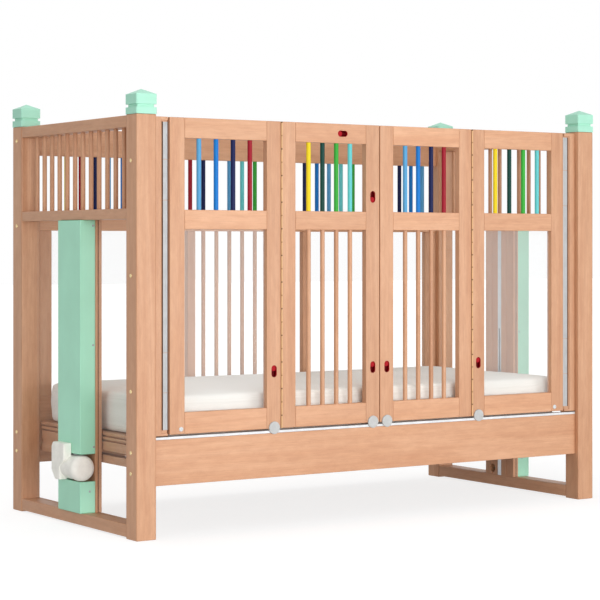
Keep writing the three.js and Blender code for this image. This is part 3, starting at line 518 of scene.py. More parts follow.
BEECH = [
    (beech("beech_grain_x", 0, 1.10), "beech"),
    (beech("beech_grain_y", 1, 1.0), "beech"),
    (beech("beech_grain_z", 2, 1.0), "beech"),
]
BEECH_X, BEECH_Y, BEECH_Z = BEECH
ROD_PAINTS = {
    "light_blue": rgb(92, 164, 212),
    "blue": rgb(24, 122, 204),
    "navy": rgb(18, 28, 76),
    "red": rgb(158, 26, 44),
    "yellow": rgb(238, 212, 36),
    "dark_green": rgb(14, 66, 58),
    "green": rgb(60, 172, 62),
    "turquoise": rgb(108, 210, 212),
}
PAINTED = {name: (paint("rod_" + name, colour), "beech") for name, colour in ROD_PAINTS.items()}
CAP_PAINT = (lacquer("mint_cap_paint", rgb(164, 224, 199), 260.0), "cap_paint")
COLUMN_PAINT = (lacquer("mint_column_paint", rgb(167, 228, 199), 420.0), "column_paint")
ALUMINIUM = (brushed("drawn_aluminium", rgb(205, 209, 212), 2, 0.34, 0.5), "aluminium")
STRIP_ALUMINIUM = (brushed("hinge_strip_aluminium", rgb(190, 191, 192), 2, 0.5, 0.65, 0.3), "aluminium")
ALUMINIUM_X = (brushed("drawn_aluminium_rail", rgb(222, 224, 226), 0, 0.5, 0.65, 0.3), "aluminium")
STEEL = (brushed("steel", rgb(178, 180, 182), 2, 0.3, 0.45), "steel")
BRASS = (brushed("pale_brass", rgb(226, 184, 134), 2, 0.5, 0.65, 0.3), "hinge_brass")
# Darker brass for the collars at the fold hinge's joints: painted shade in the seams, deeper and fainter by
# turns
BRASS_JOINT_DEEP_SHADE = (brushed("brass_joint_painted_shade", rgb(112, 78, 40), 2, 0.5, 0.7, 0.3), "hinge_brass")
BRASS_JOINT_FAINT_SHADE = (brushed("brass_seam_painted_shade", rgb(176, 132, 84), 2, 0.5, 0.7, 0.3), "hinge_brass")
BOLT_BRASS = (brushed("bolt_brass", rgb(236, 216, 166), 2, 0.3, 0.45), "hinge_brass")
# Dark brown for the left hinge strip's barrels: painted shade of the gap between the strip and the door
HINGE_BARREL_SHADE = (brushed("hinge_barrel_painted_shade", rgb(126, 86, 60), 2, 0.5, 0.65, 0.2), "steel")
MOTOR_PLASTIC = (plastic("motor_plastic", rgb(249, 247, 239), 0.4, 0.55, 900.0), "motor_plastic")
STOP_PLASTIC = (plastic("stop_plastic", rgb(186, 187, 186), 0.45, 0.6, 900.0), "steel")
BUMPER_PLASTIC = (plastic("bumper_plastic", rgb(216, 220, 222), 0.4, 0.55, 900.0), "motor_plastic")
LATCH_RED = (plastic("latch_red", rgb(168, 14, 28), 0.4, 0.55, 700.0, 0.12), "latch_plastic")
BOLT_RED = (plastic("latch_bolt_red", rgb(96, 8, 14), 0.5, 0.65, 700.0, 0.08), "latch_plastic")
# Dark red for the inside of latch pockets and bores: painted shade in the recesses
POCKET_SHADE = (plastic("pocket_painted_shade", rgb(110, 8, 16), 0.6, 0.8, 500.0, 0.05), "latch_plastic")
DOOR_CLEAR = (clear_sheet("door_panel", 0.10), "clear_panel")
CLEAR = (clear_sheet("clear_panel", 0.03), "clear_panel")
# Dark beech-brown for thin strips that stand in for the shade in gaps beside the wood: painted shade
PAINTED_SHADE_BEECH = (plastic("panel_seal", rgb(92, 66, 50), 0.6, 0.8, 500.0, 0.1), "beech")
COVER = (cover_cloth("mattress_sheet"), "mattress_cover")


def finish_piece(name, mesh_data, look, body, stands_for=()):
    """Turns mesh data into a piece that wears a look and rides on a body."""
    mesh = bpy.data.meshes.new(name)
    mesh_data.normal_update()
    mesh_data.to_mesh(mesh)
    mesh_data.free()
    mesh.materials.append(look[0])
    piece = bpy.data.objects.new(name, mesh)
    scene.collection.objects.link(piece)
    mesh.polygons.foreach_set("use_smooth", [True] * len(mesh.polygons))
    even = piece.modifiers.new("even_shading", "WEIGHTED_NORMAL")
    even.keep_sharp = True
    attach(piece, body)
    if stands_for:
        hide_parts(*stands_for)
    return piece


def eased(length, radius, ease):
    """The profile of a round bar with eased ends."""
    ends = [(length - ease, radius), (length, radius - ease), (length, 0)]
    return [(0, 0), (0, radius - ease), (ease, radius), *ends]


def board(name, low, high, look, body, stands_for=(), edge=EDGE):
    """A planed board with eased edges."""
    made = bmesh.new()
    bmesh.ops.create_cube(made, size=1.0)
    low, high = Vector(low), Vector(high)
    for vertex in made.verts:
        vertex.co = Vector(
            low[index] + (high[index] - low[index]) * (vertex.co[index] + 0.5) for index in range(3)
        )
    bmesh.ops.bevel(made, geom=made.edges[:], offset=edge, segments=2, profile=0.5, affect="EDGES")
    return finish_piece(name, made, look, body, stands_for)


def turned(name, profile, start, axis, look, body, stands_for=(), sides=32):
    """A turned piece: profile points are (distance along the axis, radius), from start along axis."""
    made = bmesh.new()
    direction = Vector(axis).normalized()
    side = direction.orthogonal().normalized()
    other = direction.cross(side)
    rings = []
    for distance, radius in profile:
        centre = Vector(start) + direction * distance
        if radius == 0:
            rings.append([made.verts.new(centre)])
            continue
        ring = []
        for step in range(sides):
            angle = 2 * math.pi * step / sides
            ring.append(made.verts.new(centre + (side * math.cos(angle) + other * math.sin(angle)) * radius))
        rings.append(ring)
    for first, second in zip(rings, rings[1:]):
        for step in range(sides):
            after = (step + 1) % sides
            corners = [first[step % len(first)], first[after % len(first)]]
            corners += [second[after % len(second)], second[step % len(second)]]
            unique = list(dict.fromkeys(corners))
            if len(unique) > 2:
                made.faces.new(unique)
    bmesh.ops.recalc_face_normals(made, faces=made.faces[:])
    for edge in made.edges:
        if len(edge.link_faces) == 2 and edge.calc_face_angle() > TURNED_ANGLE:
            edge.smooth = False
    return finish_piece(name, made, look, body, stands_for)


def rod(name, centre, heights, look, body, stands_for=()):
    """An upright round rod with softened ends, let into the rails above and below."""
    low, high = heights[0] - ROD_TENON, heights[1] + ROD_TENON
    profile = eased(high - low, ROD / 2, ROD_EASE)
    return turned(name, profile, (*centre, low), (0, 0, 1), look, body, stands_for, sides=24)


def drawn_out(outline, span, axis):
    """Mesh data of an outline in the two other axes, drawn out along one axis."""
    made = bmesh.new()
    rings = []
    for place in span:
        spots = [list(point) for point in outline]
        for spot in spots:
            spot.insert(axis, place)
        rings.append([made.verts.new(spot) for spot in spots])
    count = len(outline)
    for step in range(count):
        after = (step + 1) % count
        made.faces.new([rings[0][step], rings[0][after], rings[1][after], rings[1][step]])
    made.faces.new(rings[0])
    made.faces.new(rings[1])
    bmesh.ops.recalc_face_normals(made, faces=made.faces[:])
    return made


def prism(name, outline, span, axis, look, body, stands_for=(), edge=0.0, segments=3):
    """An outline drawn out along one axis, with rounded edges."""
    made = drawn_out(outline, span, axis)
    if edge:
        sharp = [line for line in made.edges if line.calc_face_angle() > PRISM_ANGLE]
        bmesh.ops.bevel(made, geom=sharp, offset=edge, segments=segments, profile=0.5, affect="EDGES")
    return finish_piece(name, made, look, body, stands_for)


def stadium(centre, length, width, sideways=False, steps=12):
    """A slot shape in X and Z: two half circles joined by straight sides."""
    reach = (length - width) / 2
    points = []
    for end, first_angle in ((1, 0.0), (-1, math.pi)):
        for step in range(steps + 1):
            angle = first_angle + math.pi * step / steps
            across = width / 2 * math.cos(angle)
            up = end * reach + width / 2 * math.sin(angle)
            points.append((up, across) if sideways else (across, up))
    return [(centre[0] + first, centre[1] + second) for first, second in points]


def carve(piece, cutter):
    """Cuts a cutter's shape out of a piece, and takes the cutter away."""
    cut = piece.modifiers.new("cut", "BOOLEAN")
    cut.operation = "DIFFERENCE"
    cut.solver = "EXACT"
    cut.material_mode = "TRANSFER"
    cut.object = cutter
    piece.modifiers.move(len(piece.modifiers) - 1, 0)
    bpy.context.view_layer.update()
    even = piece.modifiers.get("even_shading")
    even.show_viewport = False
    evaluated = piece.evaluated_get(bpy.context.evaluated_depsgraph_get())
    carved = bpy.data.meshes.new_from_object(evaluated)
    piece.modifiers.remove(cut)
    piece.data = carved
    even.show_viewport = True
    bpy.data.objects.remove(cutter)


def circle(centre, diameter, steps=20):
    """The outline of a round hole."""
    angles = [2 * math.pi * step / steps for step in range(steps)]
    radius = diameter / 2
    return [(centre[0] + radius * math.cos(angle), centre[1] + radius * math.sin(angle)) for angle in angles]


def cutter_of(outline, span, axis=1):
    """A prism along one axis, used only to carve a pocket or a bore; its dark red goes onto the carved faces
    as painted shade.
    """
    made = drawn_out(outline, span, axis)
    mesh = bpy.data.meshes.new("cutter")
    made.to_mesh(mesh)
    made.free()
    mesh.materials.append(POCKET_SHADE[0])
    cutter = bpy.data.objects.new("cutter", mesh)
    scene.collection.objects.link(cutter)
    return cutter


def dress(node, look, edge=EDGE, segments=2):
    """Gives a CAD node its material, and eases its edges."""
    target = nodes[node]
    for material_slot in target.material_slots:
        material_slot.material = look[0]
    if not target.material_slots:
        target.data.materials.append(look[0])
    weld = target.modifiers.new("weld", "WELD")
    weld.merge_threshold = WELD_GAP
    bevel = target.modifiers.new("eased_edges", "BEVEL")
    bevel.width = edge
    bevel.segments = segments
    bevel.limit_method = "ANGLE"
    bevel.angle_limit = DRESSED_ANGLE
    bevel.use_clamp_overlap = True


def liner(name, centre, front, sideways, body):
    """The red lip of a latch pocket: a thin slot-shaped ring let into the wood."""
    made = bmesh.new()
    outer = stadium(centre, LATCH_LENGTH + 2 * LINER_WALL, LATCH_WIDTH + 2 * LINER_WALL, sideways)
    soft = stadium(centre, LATCH_LENGTH + LINER_WALL, LATCH_WIDTH + LINER_WALL, sideways)
    inner = stadium(centre, LATCH_LENGTH, LATCH_WIDTH, sideways)
    levels = (
        (outer, front + LATCH_LINER_DEPTH),
        (outer, front - LINER_PROUD / 2),
        (soft, front - LINER_PROUD),
        (inner, front - LINER_PROUD / 2),
        (inner, front + LATCH_LINER_DEPTH),
    )
    rings = [[made.verts.new((x, y, z)) for x, z in outline] for outline, y in levels]
    count = len(outer)
    for first, second in zip(rings, rings[1:] + rings[:1]):
        for step in range(count):
            after = (step + 1) % count
            made.faces.new([first[step], first[after], second[after], second[step]])
    bmesh.ops.recalc_face_normals(made, faces=made.faces[:])
    return finish_piece(name, made, LATCH_RED, body)


def latch(node, centre, front, sideways, body):
    """A round finger button, and the bolt that it drives down, up or sideways."""
    low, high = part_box(node)
    x, z = centre
    outline = stadium(centre, BUTTON_SIDE * BUTTON_STRETCH, BUTTON_SIDE, sideways)
    span = [front + depth for depth in BUTTON_DEPTHS]
    prism(node + "_button", outline, span, 1, LATCH_RED, body, (node,), edge=BUTTON_EDGE)
    bolt_y = front + BOLT_DEPTH
    radius = LATCH_BOLT / 2
    reach = BUTTON_SIDE / 2
    if sideways:
        start, axis, length = (x + reach, bolt_y, z), (1, 0, 0), high.x - x - reach
    elif low.z < z - 2 * reach:
        start, axis, length = (x, bolt_y, z - reach), (0, 0, -1), z - reach - low.z
    else:
        start, axis, length = (x, bolt_y, z + reach), (0, 0, 1), high.z - z - reach
    profile = [(-BOLT_ROOT, 0), (-BOLT_ROOT, radius), (length - BOLT_TIP, radius)]
    profile += [(length, radius - BOLT_TIP), (length, 0)]
    turned(node + "_bolt", profile, start, axis, BOLT_RED, body, sides=20)


def camera():
    """The photograph's view."""
    data = bpy.data.cameras.new("camera")
    data.sensor_width = SENSOR
    data.lens = FOCAL_PIXELS / IMAGE_SIZE * SENSOR
    data.shift_y = (HORIZON_ROW - IMAGE_SIZE / 2) / IMAGE_SIZE
    data.shift_x = SIDE_SHIFT
    data.clip_end = SIGHT_END
    made = bpy.data.objects.new("camera", data)
    made.location = CAMERA_PLACE
    made.rotation_euler = (math.radians(90), 0, math.radians(-CAMERA_TURN))
    scene.collection.objects.link(made)
    scene.camera = made


def lights():
    """Round soft lights, and a white world that lights less than it shows."""
    for name, (place, target, size, power) in LIGHTS.items():
        lamp = bpy.data.lights.new(name, "AREA")
        lamp.shape = "DISK"
        lamp.size = size
        lamp.energy = power
        light = bpy.data.objects.new(name, lamp)
        light.location = place
        light.rotation_euler = (Vector(target) - Vector(place)).to_track_quat("-Z", "Y").to_euler()
        scene.collection.objects.link(light)
    world = bpy.data.worlds.new("studio")
    world.use_nodes = True
    tree = world.node_tree
    tree.nodes.clear()
    output = tree.nodes.new("ShaderNodeOutputWorld")
    mixed = tree.nodes.new("ShaderNodeMixShader")
    lit = tree.nodes.new("ShaderNodeBackground")
    seen = tree.nodes.new("ShaderNodeBackground")
    lit.inputs["Color"].default_value = WHITE
    lit.inputs["Strength"].default_value = WORLD_LIGHT
    seen.inputs["Color"].default_value = WHITE
    seen.inputs["Strength"].default_value = 1.0
    tree.links.new(seen_rays(tree), mixed.inputs["Fac"])
    tree.links.new(lit.outputs[0], mixed.inputs[1])
    tree.links.new(seen.outputs[0], mixed.inputs[2])
    tree.links.new(mixed.outputs[0], output.inputs["Surface"])
    scene.world = world


def seen_rays(tree):
    """1 for rays that show the background: from the camera, mirrored or through glass."""
    path = tree.nodes.new("ShaderNodeLightPath")
    first = tree.nodes.new("ShaderNodeMath")
    first.operation = "MAXIMUM"
    second = tree.nodes.new("ShaderNodeMath")
    second.operation = "MAXIMUM"
    tree.links.new(path.outputs["Is Camera Ray"], first.inputs[0])
    tree.links.new(path.outputs["Is Glossy Ray"], first.inputs[1])
    tree.links.new(first.outputs[0], second.inputs[0])
    tree.links.new(path.outputs["Is Transmission Ray"], second.inputs[1])
    return second.outputs[0]


def floor():
    """A white sheet that takes the cot's shadow."""
    half = FLOOR_HALF
    corners = [(-half, -half, 0), (half, -half, 0), (half, half, 0), (-half, half, 0)]
    mesh = bpy.data.meshes.new("floor")
    mesh.from_pydata(corners, [], [(0, 1, 2, 3)])
    plane = bpy.data.objects.new("floor", mesh)
    scene.collection.objects.link(plane)
    material = bpy.data.materials.new("studio_floor")
    material.use_nodes = True
    tree = material.node_tree
    tree.nodes.clear()
    output = tree.nodes.new("ShaderNodeOutputMaterial")
    plain = tree.nodes.new("ShaderNodeBsdfDiffuse")
    plain.inputs["Color"].default_value = FLOOR_GREY
    shadowed = tree.nodes.new("ShaderNodeBsdfDiffuse")
    shadowed.inputs["Color"].default_value = FLOOR_SEEN_GREY
    glow = tree.nodes.new("ShaderNodeEmission")
    glow.inputs["Color"].default_value = WHITE
    distance = tree.nodes.new("ShaderNodeVectorMath")
    distance.operation = "LENGTH"
    rise = tree.nodes.new("ShaderNodeMapRange")
    rise.inputs["From Min"].default_value = FLOOR_NEAR
    rise.inputs["From Max"].default_value = FLOOR_FAR
    rise.inputs["To Min"].default_value = FLOOR_GLOW
    rise.inputs["To Max"].default_value = 1.0
    place = tree.nodes.new("ShaderNodeTexCoord")
    tree.links.new(place.outputs["Object"], distance.inputs[0])
    tree.links.new(distance.outputs["Value"], rise.inputs["Value"])
    tree.links.new(rise.outputs[0], glow.inputs["Strength"])
    added = tree.nodes.new("ShaderNodeAddShader")
    mixed = tree.nodes.new("ShaderNodeMixShader")
    tree.links.new(shadowed.outputs[0], added.inputs[0])
    tree.links.new(glow.outputs[0], added.inputs[1])
    tree.links.new(seen_rays(tree), mixed.inputs["Fac"])
    tree.links.new(plain.outputs[0], mixed.inputs[1])
    tree.links.new(added.outputs[0], mixed.inputs[2])
    tree.links.new(mixed.outputs[0], output.inputs["Surface"])
    mesh.materials.append(material)


def door(name):
    """One door: stiles, rails, painted rods above, plain rods below in the inner doors, and latches."""
    body, latch_body, colours = DOORS[name]
    node, rods = name + "_frame", name + "_rods"
    low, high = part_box(node)
    inner_stile_is_high = low.x < 0
    outer = name in ("door_1", "door_4")
    left_stile = board(name + "_stile_left", low, (low.x + STILE, high.y, high.z), BEECH_Z, body, (node,))
    right_stile = board(name + "_stile_right", (high.x - STILE, low.y, low.z), high, BEECH_Z, body, (node,))
    start, end = low.x + STILE + FIT / 2, high.x - STILE - FIT / 2
    levels = {
        "top_rail": (high.z - TOP_RAIL, high.z, node),
        "middle_rail": (*MIDDLE_RAIL, rods),
        "bottom_rail": (low.z, low.z + BOTTOM_RAIL, node),
    }
    rails = {}
    for rail, (bottom, top, solid) in levels.items():
        corners = (start, low.y, bottom), (end, high.y, top)
        rails[rail] = board(f"{name}_{rail}", *corners, BEECH_X, body, (solid,))
    middle_y = (low.y + high.y) / 2
    pitch = ((end - start) - 2 * DOOR_ROD_END_GAP) / (DOOR_ROD_COUNT - 1)
    for index, colour in enumerate(colours):
        x = start + DOOR_ROD_END_GAP + pitch * index
        upper = (MIDDLE_RAIL[1], high.z - TOP_RAIL)
        rod(f"{name}_rod_{index + 1}", (x, middle_y), upper, PAINTED[colour], body, (rods,))
        if not outer:
            lower = (low.z + BOTTOM_RAIL, MIDDLE_RAIL[0])
            rod(f"{name}_low_rod_{index + 1}", (x, middle_y), lower, BEECH_Z, body, (rods,))
    stile = right_stile if inner_stile_is_high else left_stile
    latch_x = high.x - STILE / 2 if inner_stile_is_high else low.x + STILE / 2
    top_z = high.z - TOP_RAIL / 2
    pockets = [(stile, (latch_x, LATCH_Z), False)]
    latch(name + "_latch", (latch_x, LATCH_Z + LATCH_REST), low.y, False, latch_body)
    if name == "door_2":
        pockets.append((stile, (latch_x, UPPER_LATCH_Z), False))
        pockets.append((rails["top_rail"], (TOP_LATCH_X, top_z), True))
        latch("door_2_upper_latch", (latch_x, UPPER_LATCH_Z - LATCH_REST), low.y, False, "upper_latch")
        latch("door_2_top_latch", (TOP_LATCH_X - LATCH_REST, top_z), low.y, True, "top_latch")
    pocket_size = (LATCH_LENGTH + 2 * LINER_WALL, LATCH_WIDTH + 2 * LINER_WALL)
    pocket_span = (low.y - POCKET_LEAD, low.y + LATCH_DEPTH)
    # The carved pocket faces take the cutter's dark red: painted shade
    for index, (target, centre, sideways) in enumerate(pockets):
        carve(target, cutter_of(stadium(centre, *pocket_size, sideways), pocket_span))
        liner(f"{name}_pocket_{index + 1}", centre, low.y, sideways, body)
    bore_y = low.y + BOLT_DEPTH
    upright = circle((latch_x, bore_y), BOLT_BORE)
    level = circle((bore_y, top_z), BOLT_BORE)
    carve(stile, cutter_of(upright, (low.z - BORE_MARGIN, LATCH_Z), 2))
    if name == "door_2":
        pin_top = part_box("door_2_upper_latch")[1].z + LATCH_TRAVEL + BORE_MARGIN / 2
        carve(stile, cutter_of(upright, (UPPER_LATCH_Z, pin_top), 2))
        carve(rails["top_rail"], cutter_of(level, (TOP_LATCH_X, end + BORE_MARGIN), 0))
        carve(stile, cutter_of(level, (end - BORE_MARGIN, high.x + BORE_MARGIN), 0))
    if name == "door_3":
        carve(stile, cutter_of(level, (low.x - BORE_MARGIN, low.x + KEEPER_DEPTH), 0))
    stop_disc(name + "_stop", body)
    if outer:
        dress(name + "_pane", DOOR_CLEAR, PANE_EDGE)
        bumper = (math.copysign(BUMPER_PLACE[0], low.x), low.y, BUMPER_PLACE[1])
        screw_head(f"{name}_bumper", bumper, (0, -1, 0), BUMPER, BUMPER_HEIGHT, BUMPER_PLASTIC, body)


def stop_disc(node, body):
    """A flat round stop with an eased rim and a shallow hole in its face."""
    low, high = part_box(node)
    start = ((low.x + high.x) / 2, high.y, (low.z + high.z) / 2)
    radius, depth = (high.x - low.x) / 2, high.y - low.y
    profile = [(0, 0), (0, radius)]
    profile += [(depth - behind, radius - inset) for behind, inset in STOP_RIM]
    profile += [(depth - behind, radius * share) for behind, share in STOP_HOLE]
    turned(node + "_disc", profile, start, (0, -1, 0), STOP_PLASTIC, body, (node,), sides=40)


def screw_head(name, place, axis, size, height, look, body):
    """A domed round head with a round recess in its middle."""
    radius = size / 2
    profile = [(-HEAD_SINK, 0), (-HEAD_SINK, radius)]
    profile += [(height * up, radius * out) for up, out in HEAD_SHAPE]
    return turned(name, profile, place, axis, look, body, sides=28)


def fold_hinge(side, body):
    """A long hinge: brass knuckles in a row, with collars at the joints darkened as painted shade, deeper
    and fainter by turns, and the leaf between the doors.
    """
    node = side + "_fold_hinge"
    low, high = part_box(node)
    sign = -1 if side == "left" else 1
    centre_x, centre_y = sign * FOLD_X, low.y + FOLD_RADIUS
    count = round((high.z - low.z) / KNUCKLE)
    length = (high.z - low.z) / count
    height = length - KNUCKLE_COLLAR
    knuckle = eased(height, FOLD_RADIUS, KNUCKLE_EASE)
    joint = FOLD_RADIUS - COLLAR_INSET
    collar = [(0, 0), (0, joint), (KNUCKLE_COLLAR, joint), (KNUCKLE_COLLAR, 0)]
    for index in range(count):
        bottom = low.z + index * length
        # The collars take painted shade, deeper and fainter by turns
        look = BRASS_JOINT_FAINT_SHADE if index % 2 else BRASS_JOINT_DEEP_SHADE
        pieces = (("knuckle", knuckle, bottom, BRASS), ("joint", collar, bottom + height, look))
        for kind, profile, start_z, tone in pieces:
            start = (centre_x, centre_y, start_z)
            turned(f"{node}_{kind}_{index + 1}", profile, start, (0, 0, 1), tone, body, (node,), sides=20)
    leaf_x = sorted(centre_x + sign * reach for reach in LEAF_SPAN)
    leaf_low = (leaf_x[0], centre_y, low.z)
    leaf_high = (leaf_x[1], high.y, high.z)
    board(node + "_leaf", leaf_low, leaf_high, BRASS, body, (node,), edge=HAIRLINE_EDGE)


def hinge_strip(side):
    """An aluminium hinge profile let into the jamb, in lengths that butt together, with a dark strip of
    painted shade on the groove's outer wall.
    """
    node = side + "_hinge_strip"
    low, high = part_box(node)
    sign = -1 if side == "left" else 1
    foot, head = low.z + STRIP_FOOT, high.z - STRIP_HEAD
    front = JAMB_FACE + STRIP_RECESS
    shade_edge = STRIP_OUTER - STRIP_SHADE
    plate = sorted((sign * STRIP_INNER, sign * shade_edge))
    shade_span = sorted((sign * shade_edge, sign * STRIP_OUTER))
    shade_low = (shade_span[0], front, foot)
    shade_high = (shade_span[1], STRIP_BACK, head)
    # A dark beech-brown strip on the groove's outer wall: painted shade
    board(node + "_seal", shade_low, shade_high, PAINTED_SHADE_BEECH, "frame", (), edge=HAIRLINE_EDGE)
    outline = [(plate[0], STRIP_BACK), (plate[0], front)]
    for share in STRIP_GROOVES:
        x = plate[0] + (plate[1] - plate[0]) * share
        floor_y = front + GROOVE_DEPTH
        outline += [(x - GROOVE_MOUTH, front), (x - GROOVE_FLOOR, floor_y)]
        outline += [(x + GROOVE_FLOOR, floor_y), (x + GROOVE_MOUTH, front)]
    outline += [(plate[1], front), (plate[1], STRIP_BACK)]
    # The left barrels wear dark brown as painted shade of the gap; the right ones are plain aluminium
    look = HINGE_BARREL_SHADE if side == "left" else STRIP_ALUMINIUM
    levels = (foot, *STRIP_JOINTS, head)
    for index, (bottom, top) in enumerate(zip(levels, levels[1:])):
        span = (bottom + STRIP_JOINT_GAP, top - STRIP_JOINT_GAP)
        piece = prism(f"{node}_{index + 1}", outline, span, 2, STRIP_ALUMINIUM, "frame", (node,))
        piece.modifiers.clear()
        piece.data.polygons.foreach_set("use_smooth", [False] * len(piece.data.polygons))
        profile = eased(span[1] - span[0], STRIP_BARREL_RADIUS, STRIP_BARREL_EASE)
        start = (sign * STRIP_BARREL_PLACE[0], STRIP_BARREL_PLACE[1], span[0])
        name = f"{node}_barrel_{index + 1}"
        turned(name, profile, start, (0, 0, 1), look, "frame", (node,), sides=20)


def back():
    """The back: rails, stiles, coloured rods above, plain rods below, and clear panels at both sides."""
    node = "back_lattice"
    low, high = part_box(node)
    middle_y = (low.y + high.y) / 2
    top = (high.z - BACK_TOP_RAIL, high.z)
    bottom = (low.z, low.z + BACK_BOTTOM_RAIL)
    for name, (under, over) in (("top_rail", top), ("middle_rail", MIDDLE_RAIL), ("bottom_rail", bottom)):
        board("back_" + name, (low.x, low.y, under), (high.x, high.y, over), BEECH_X, "frame", (node,))
    stile_z = (bottom[1] + FIT / 2, MIDDLE_RAIL[0] - FIT / 2)
    for side, sign in (("left", -1), ("right", 1)):
        x = sign * BACK_STILE_PLACE
        stiles = {
            f"back_stile_{side}": (x - BACK_STILE / 2, x + BACK_STILE / 2),
            f"back_end_stile_{side}": sorted((sign * (high.x - BACK_END_STILE), sign * high.x)),
        }
        for name, ends in stiles.items():
            corners = (ends[0], low.y, stile_z[0]), (ends[1], high.y, stile_z[1])
            board(name, *corners, BEECH_Z, "frame", (node,))
        dress(f"back_pane_{side}", CLEAR, PANE_EDGE)
    for index in range(BACK_ROD_COUNT):
        x = (index - (BACK_ROD_COUNT - 1) / 2) * BACK_ROD_PITCH
        colour = BACK_LEFT_COLOURS.get(index, BACK_RODS[(index - BACK_RODS_START) % len(BACK_RODS)])
        heights = (MIDDLE_RAIL[1], top[0])
        rod(f"back_rod_{index + 1}", (x, middle_y), heights, PAINTED[colour], "frame", (node,))
    for index in range(BACK_LOW_ROD_COUNT):
        x = (index - (BACK_LOW_ROD_COUNT - 1) / 2) * BACK_ROD_PITCH
        heights = (bottom[1], MIDDLE_RAIL[0])
        rod(f"back_low_rod_{index + 1}", (x, middle_y), heights, BEECH_Z, "frame", (node,))


def cot_end(side):
    """One end: grille, guide board and profile, clear panel, column covers, motor, bolts and screws."""
    sign = -1 if side == "left" else 1
    node = side + "_end_grille"
    low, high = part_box(node)
    middle_x = (low.x + high.x) / 2
    middle = (low.z, low.z + END_MIDDLE_RAIL)
    top = (high.z - END_TOP_RAIL, high.z)
    for name, (under, over) in (("top_rail", top), ("middle_rail", middle)):
        corners = (low.x, low.y, under), (high.x, high.y, over)
        board(f"{side}_end_{name}", *corners, BEECH_Y, "frame", (node,))
    for index in range(END_ROD_COUNT):
        y = (index - (END_ROD_COUNT - 1) / 2) * END_ROD_PITCH + END_ROD_SHIFT
        rod(f"{side}_end_rod_{index + 1}", (middle_x, y), (middle[1], top[0]), BEECH_Z, "frame", (node,))
    dress(side + "_end_bottom_rail", BEECH_Y)
    dress(side + "_guide_board", BEECH_Z, THIN_EDGE)
    dress(side + "_guide_profile", ALUMINIUM, METAL_EDGE)
    dress(side + "_end_pane", CLEAR, PANE_EDGE)
    for part in ("lower", "upper"):
        dress(f"{side}_column_cover_{part}", COLUMN_PAINT, COVER_EDGE, 3)
    dress(side + "_lift_carriage", STEEL, METAL_EDGE)
    dress(side + "_jamb", BEECH_Z)
    jamb_low, jamb_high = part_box(side + "_jamb")
    # A dark strip along the jamb's foot: painted shade of the gap between the jamb and the rail
    jamb_shade_low = (jamb_low.x, jamb_low.y - FIT, jamb_low.z)
    jamb_shade_high = (jamb_high.x, jamb_low.y + FIT, jamb_low.z + JAMB_SHADE_HEIGHT)
    board(side + "_jamb_foot", jamb_shade_low, jamb_shade_high, PAINTED_SHADE_BEECH, "frame", (), edge=HAIRLINE_EDGE)
    lift_motor(side, sign)
    guide_low, guide_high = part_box(side + "_guide_board")
    # Dark strips on the guide board's front and rear faces at the panel's edge: painted shade
    shade_x = sorted(sign * x for x in PANE_SHADE_SPAN)
    for face, edge_y, outward in (("front", guide_low.y, -1), ("rear", guide_high.y, 1)):
        shade_y = sorted((edge_y, edge_y + outward * PANE_SHADE_DEPTH))
        corners = (shade_x[0], shade_y[0], guide_low.z), (shade_x[1], shade_y[1], guide_high.z)
        board(f"{side}_pane_seal_{face}", *corners, PAINTED_SHADE_BEECH, "frame", (), edge=PANE_SHADE_EDGE)
    bolts = [(sign * POST_FACE, y, z) for y, heights in POST_BOLTS.items() for z in heights]
    for index, place in enumerate(bolts):
        name = f"{side}_post_bolt_{index + 1}"
        screw_head(name, place, (sign, 0, 0), POST_BOLT, POST_BOLT_HEIGHT, BOLT_BRASS, "frame")
    for face, outward in (("front", -1), ("rear", 1)):
        for index, (x, z) in enumerate(COVER_SCREWS):
            name = f"{side}_cover_screw_{face}_{index + 1}"
            place = (sign * x, outward * COLUMN_HALF, z)
            screw_head(name, place, (0, outward, 0), SCREW, SCREW_HEIGHT, STEEL, "frame")


def lift_motor(side, sign):
    """The off-white drive: a chamfered gearbox, a round motor with a soft cap, and the actuator tube."""
    node = side + "_lift_motor"
    axis_x, axis_z = sign * MOTOR_AXIS[0], MOTOR_AXIS[1]
    span = sorted(sign * x for x in GEARBOX_SPAN)
    name = side + "_motor_gearbox"
    prism(name, GEARBOX_OUTLINE, span, 0, MOTOR_PLASTIC, "frame", (node,), edge=GEARBOX_EDGE, segments=4)
    parts = (("barrel", MOTOR_BARREL, MOTOR_BARREL_START), ("cap", MOTOR_CAP, MOTOR_CAP_START))
    for part, profile, y in parts:
        name = f"{side}_motor_{part}"
        turned(name, profile, (axis_x, y, axis_z), (0, -1, 0), MOTOR_PLASTIC, "frame", (node,), sides=48)
    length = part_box(node)[1].z - TUBE_START
    tube = [(0, 0), (0, TUBE_RADIUS), (length - TUBE_EASE, TUBE_RADIUS)]
    tube += [(length, TUBE_RADIUS - TUBE_EASE), (length, 0)]
    start = (sign * TUBE_X, 0.0, TUBE_START)
    turned(side + "_motor_tube", tube, start, (0, 0, 1), STEEL, "frame", (node,))


def dressed_woodwork():
    """The solids that keep their own shape: posts, caps, boards, latch rail and platform."""
    for corner in ("front_left", "front_right", "rear_left", "rear_right"):
        dress("post_" + corner, BEECH_Z, POST_EDGE, 3)
        dress("cap_" + corner, CAP_PAINT, CAP_EDGE, 3)
    dress("front_board", BEECH_X)
    dress("back_board", BEECH_X)
    dress("latch_rail", ALUMINIUM_X, METAL_EDGE)
    dress("platform", BEECH_Y, THIN_EDGE)


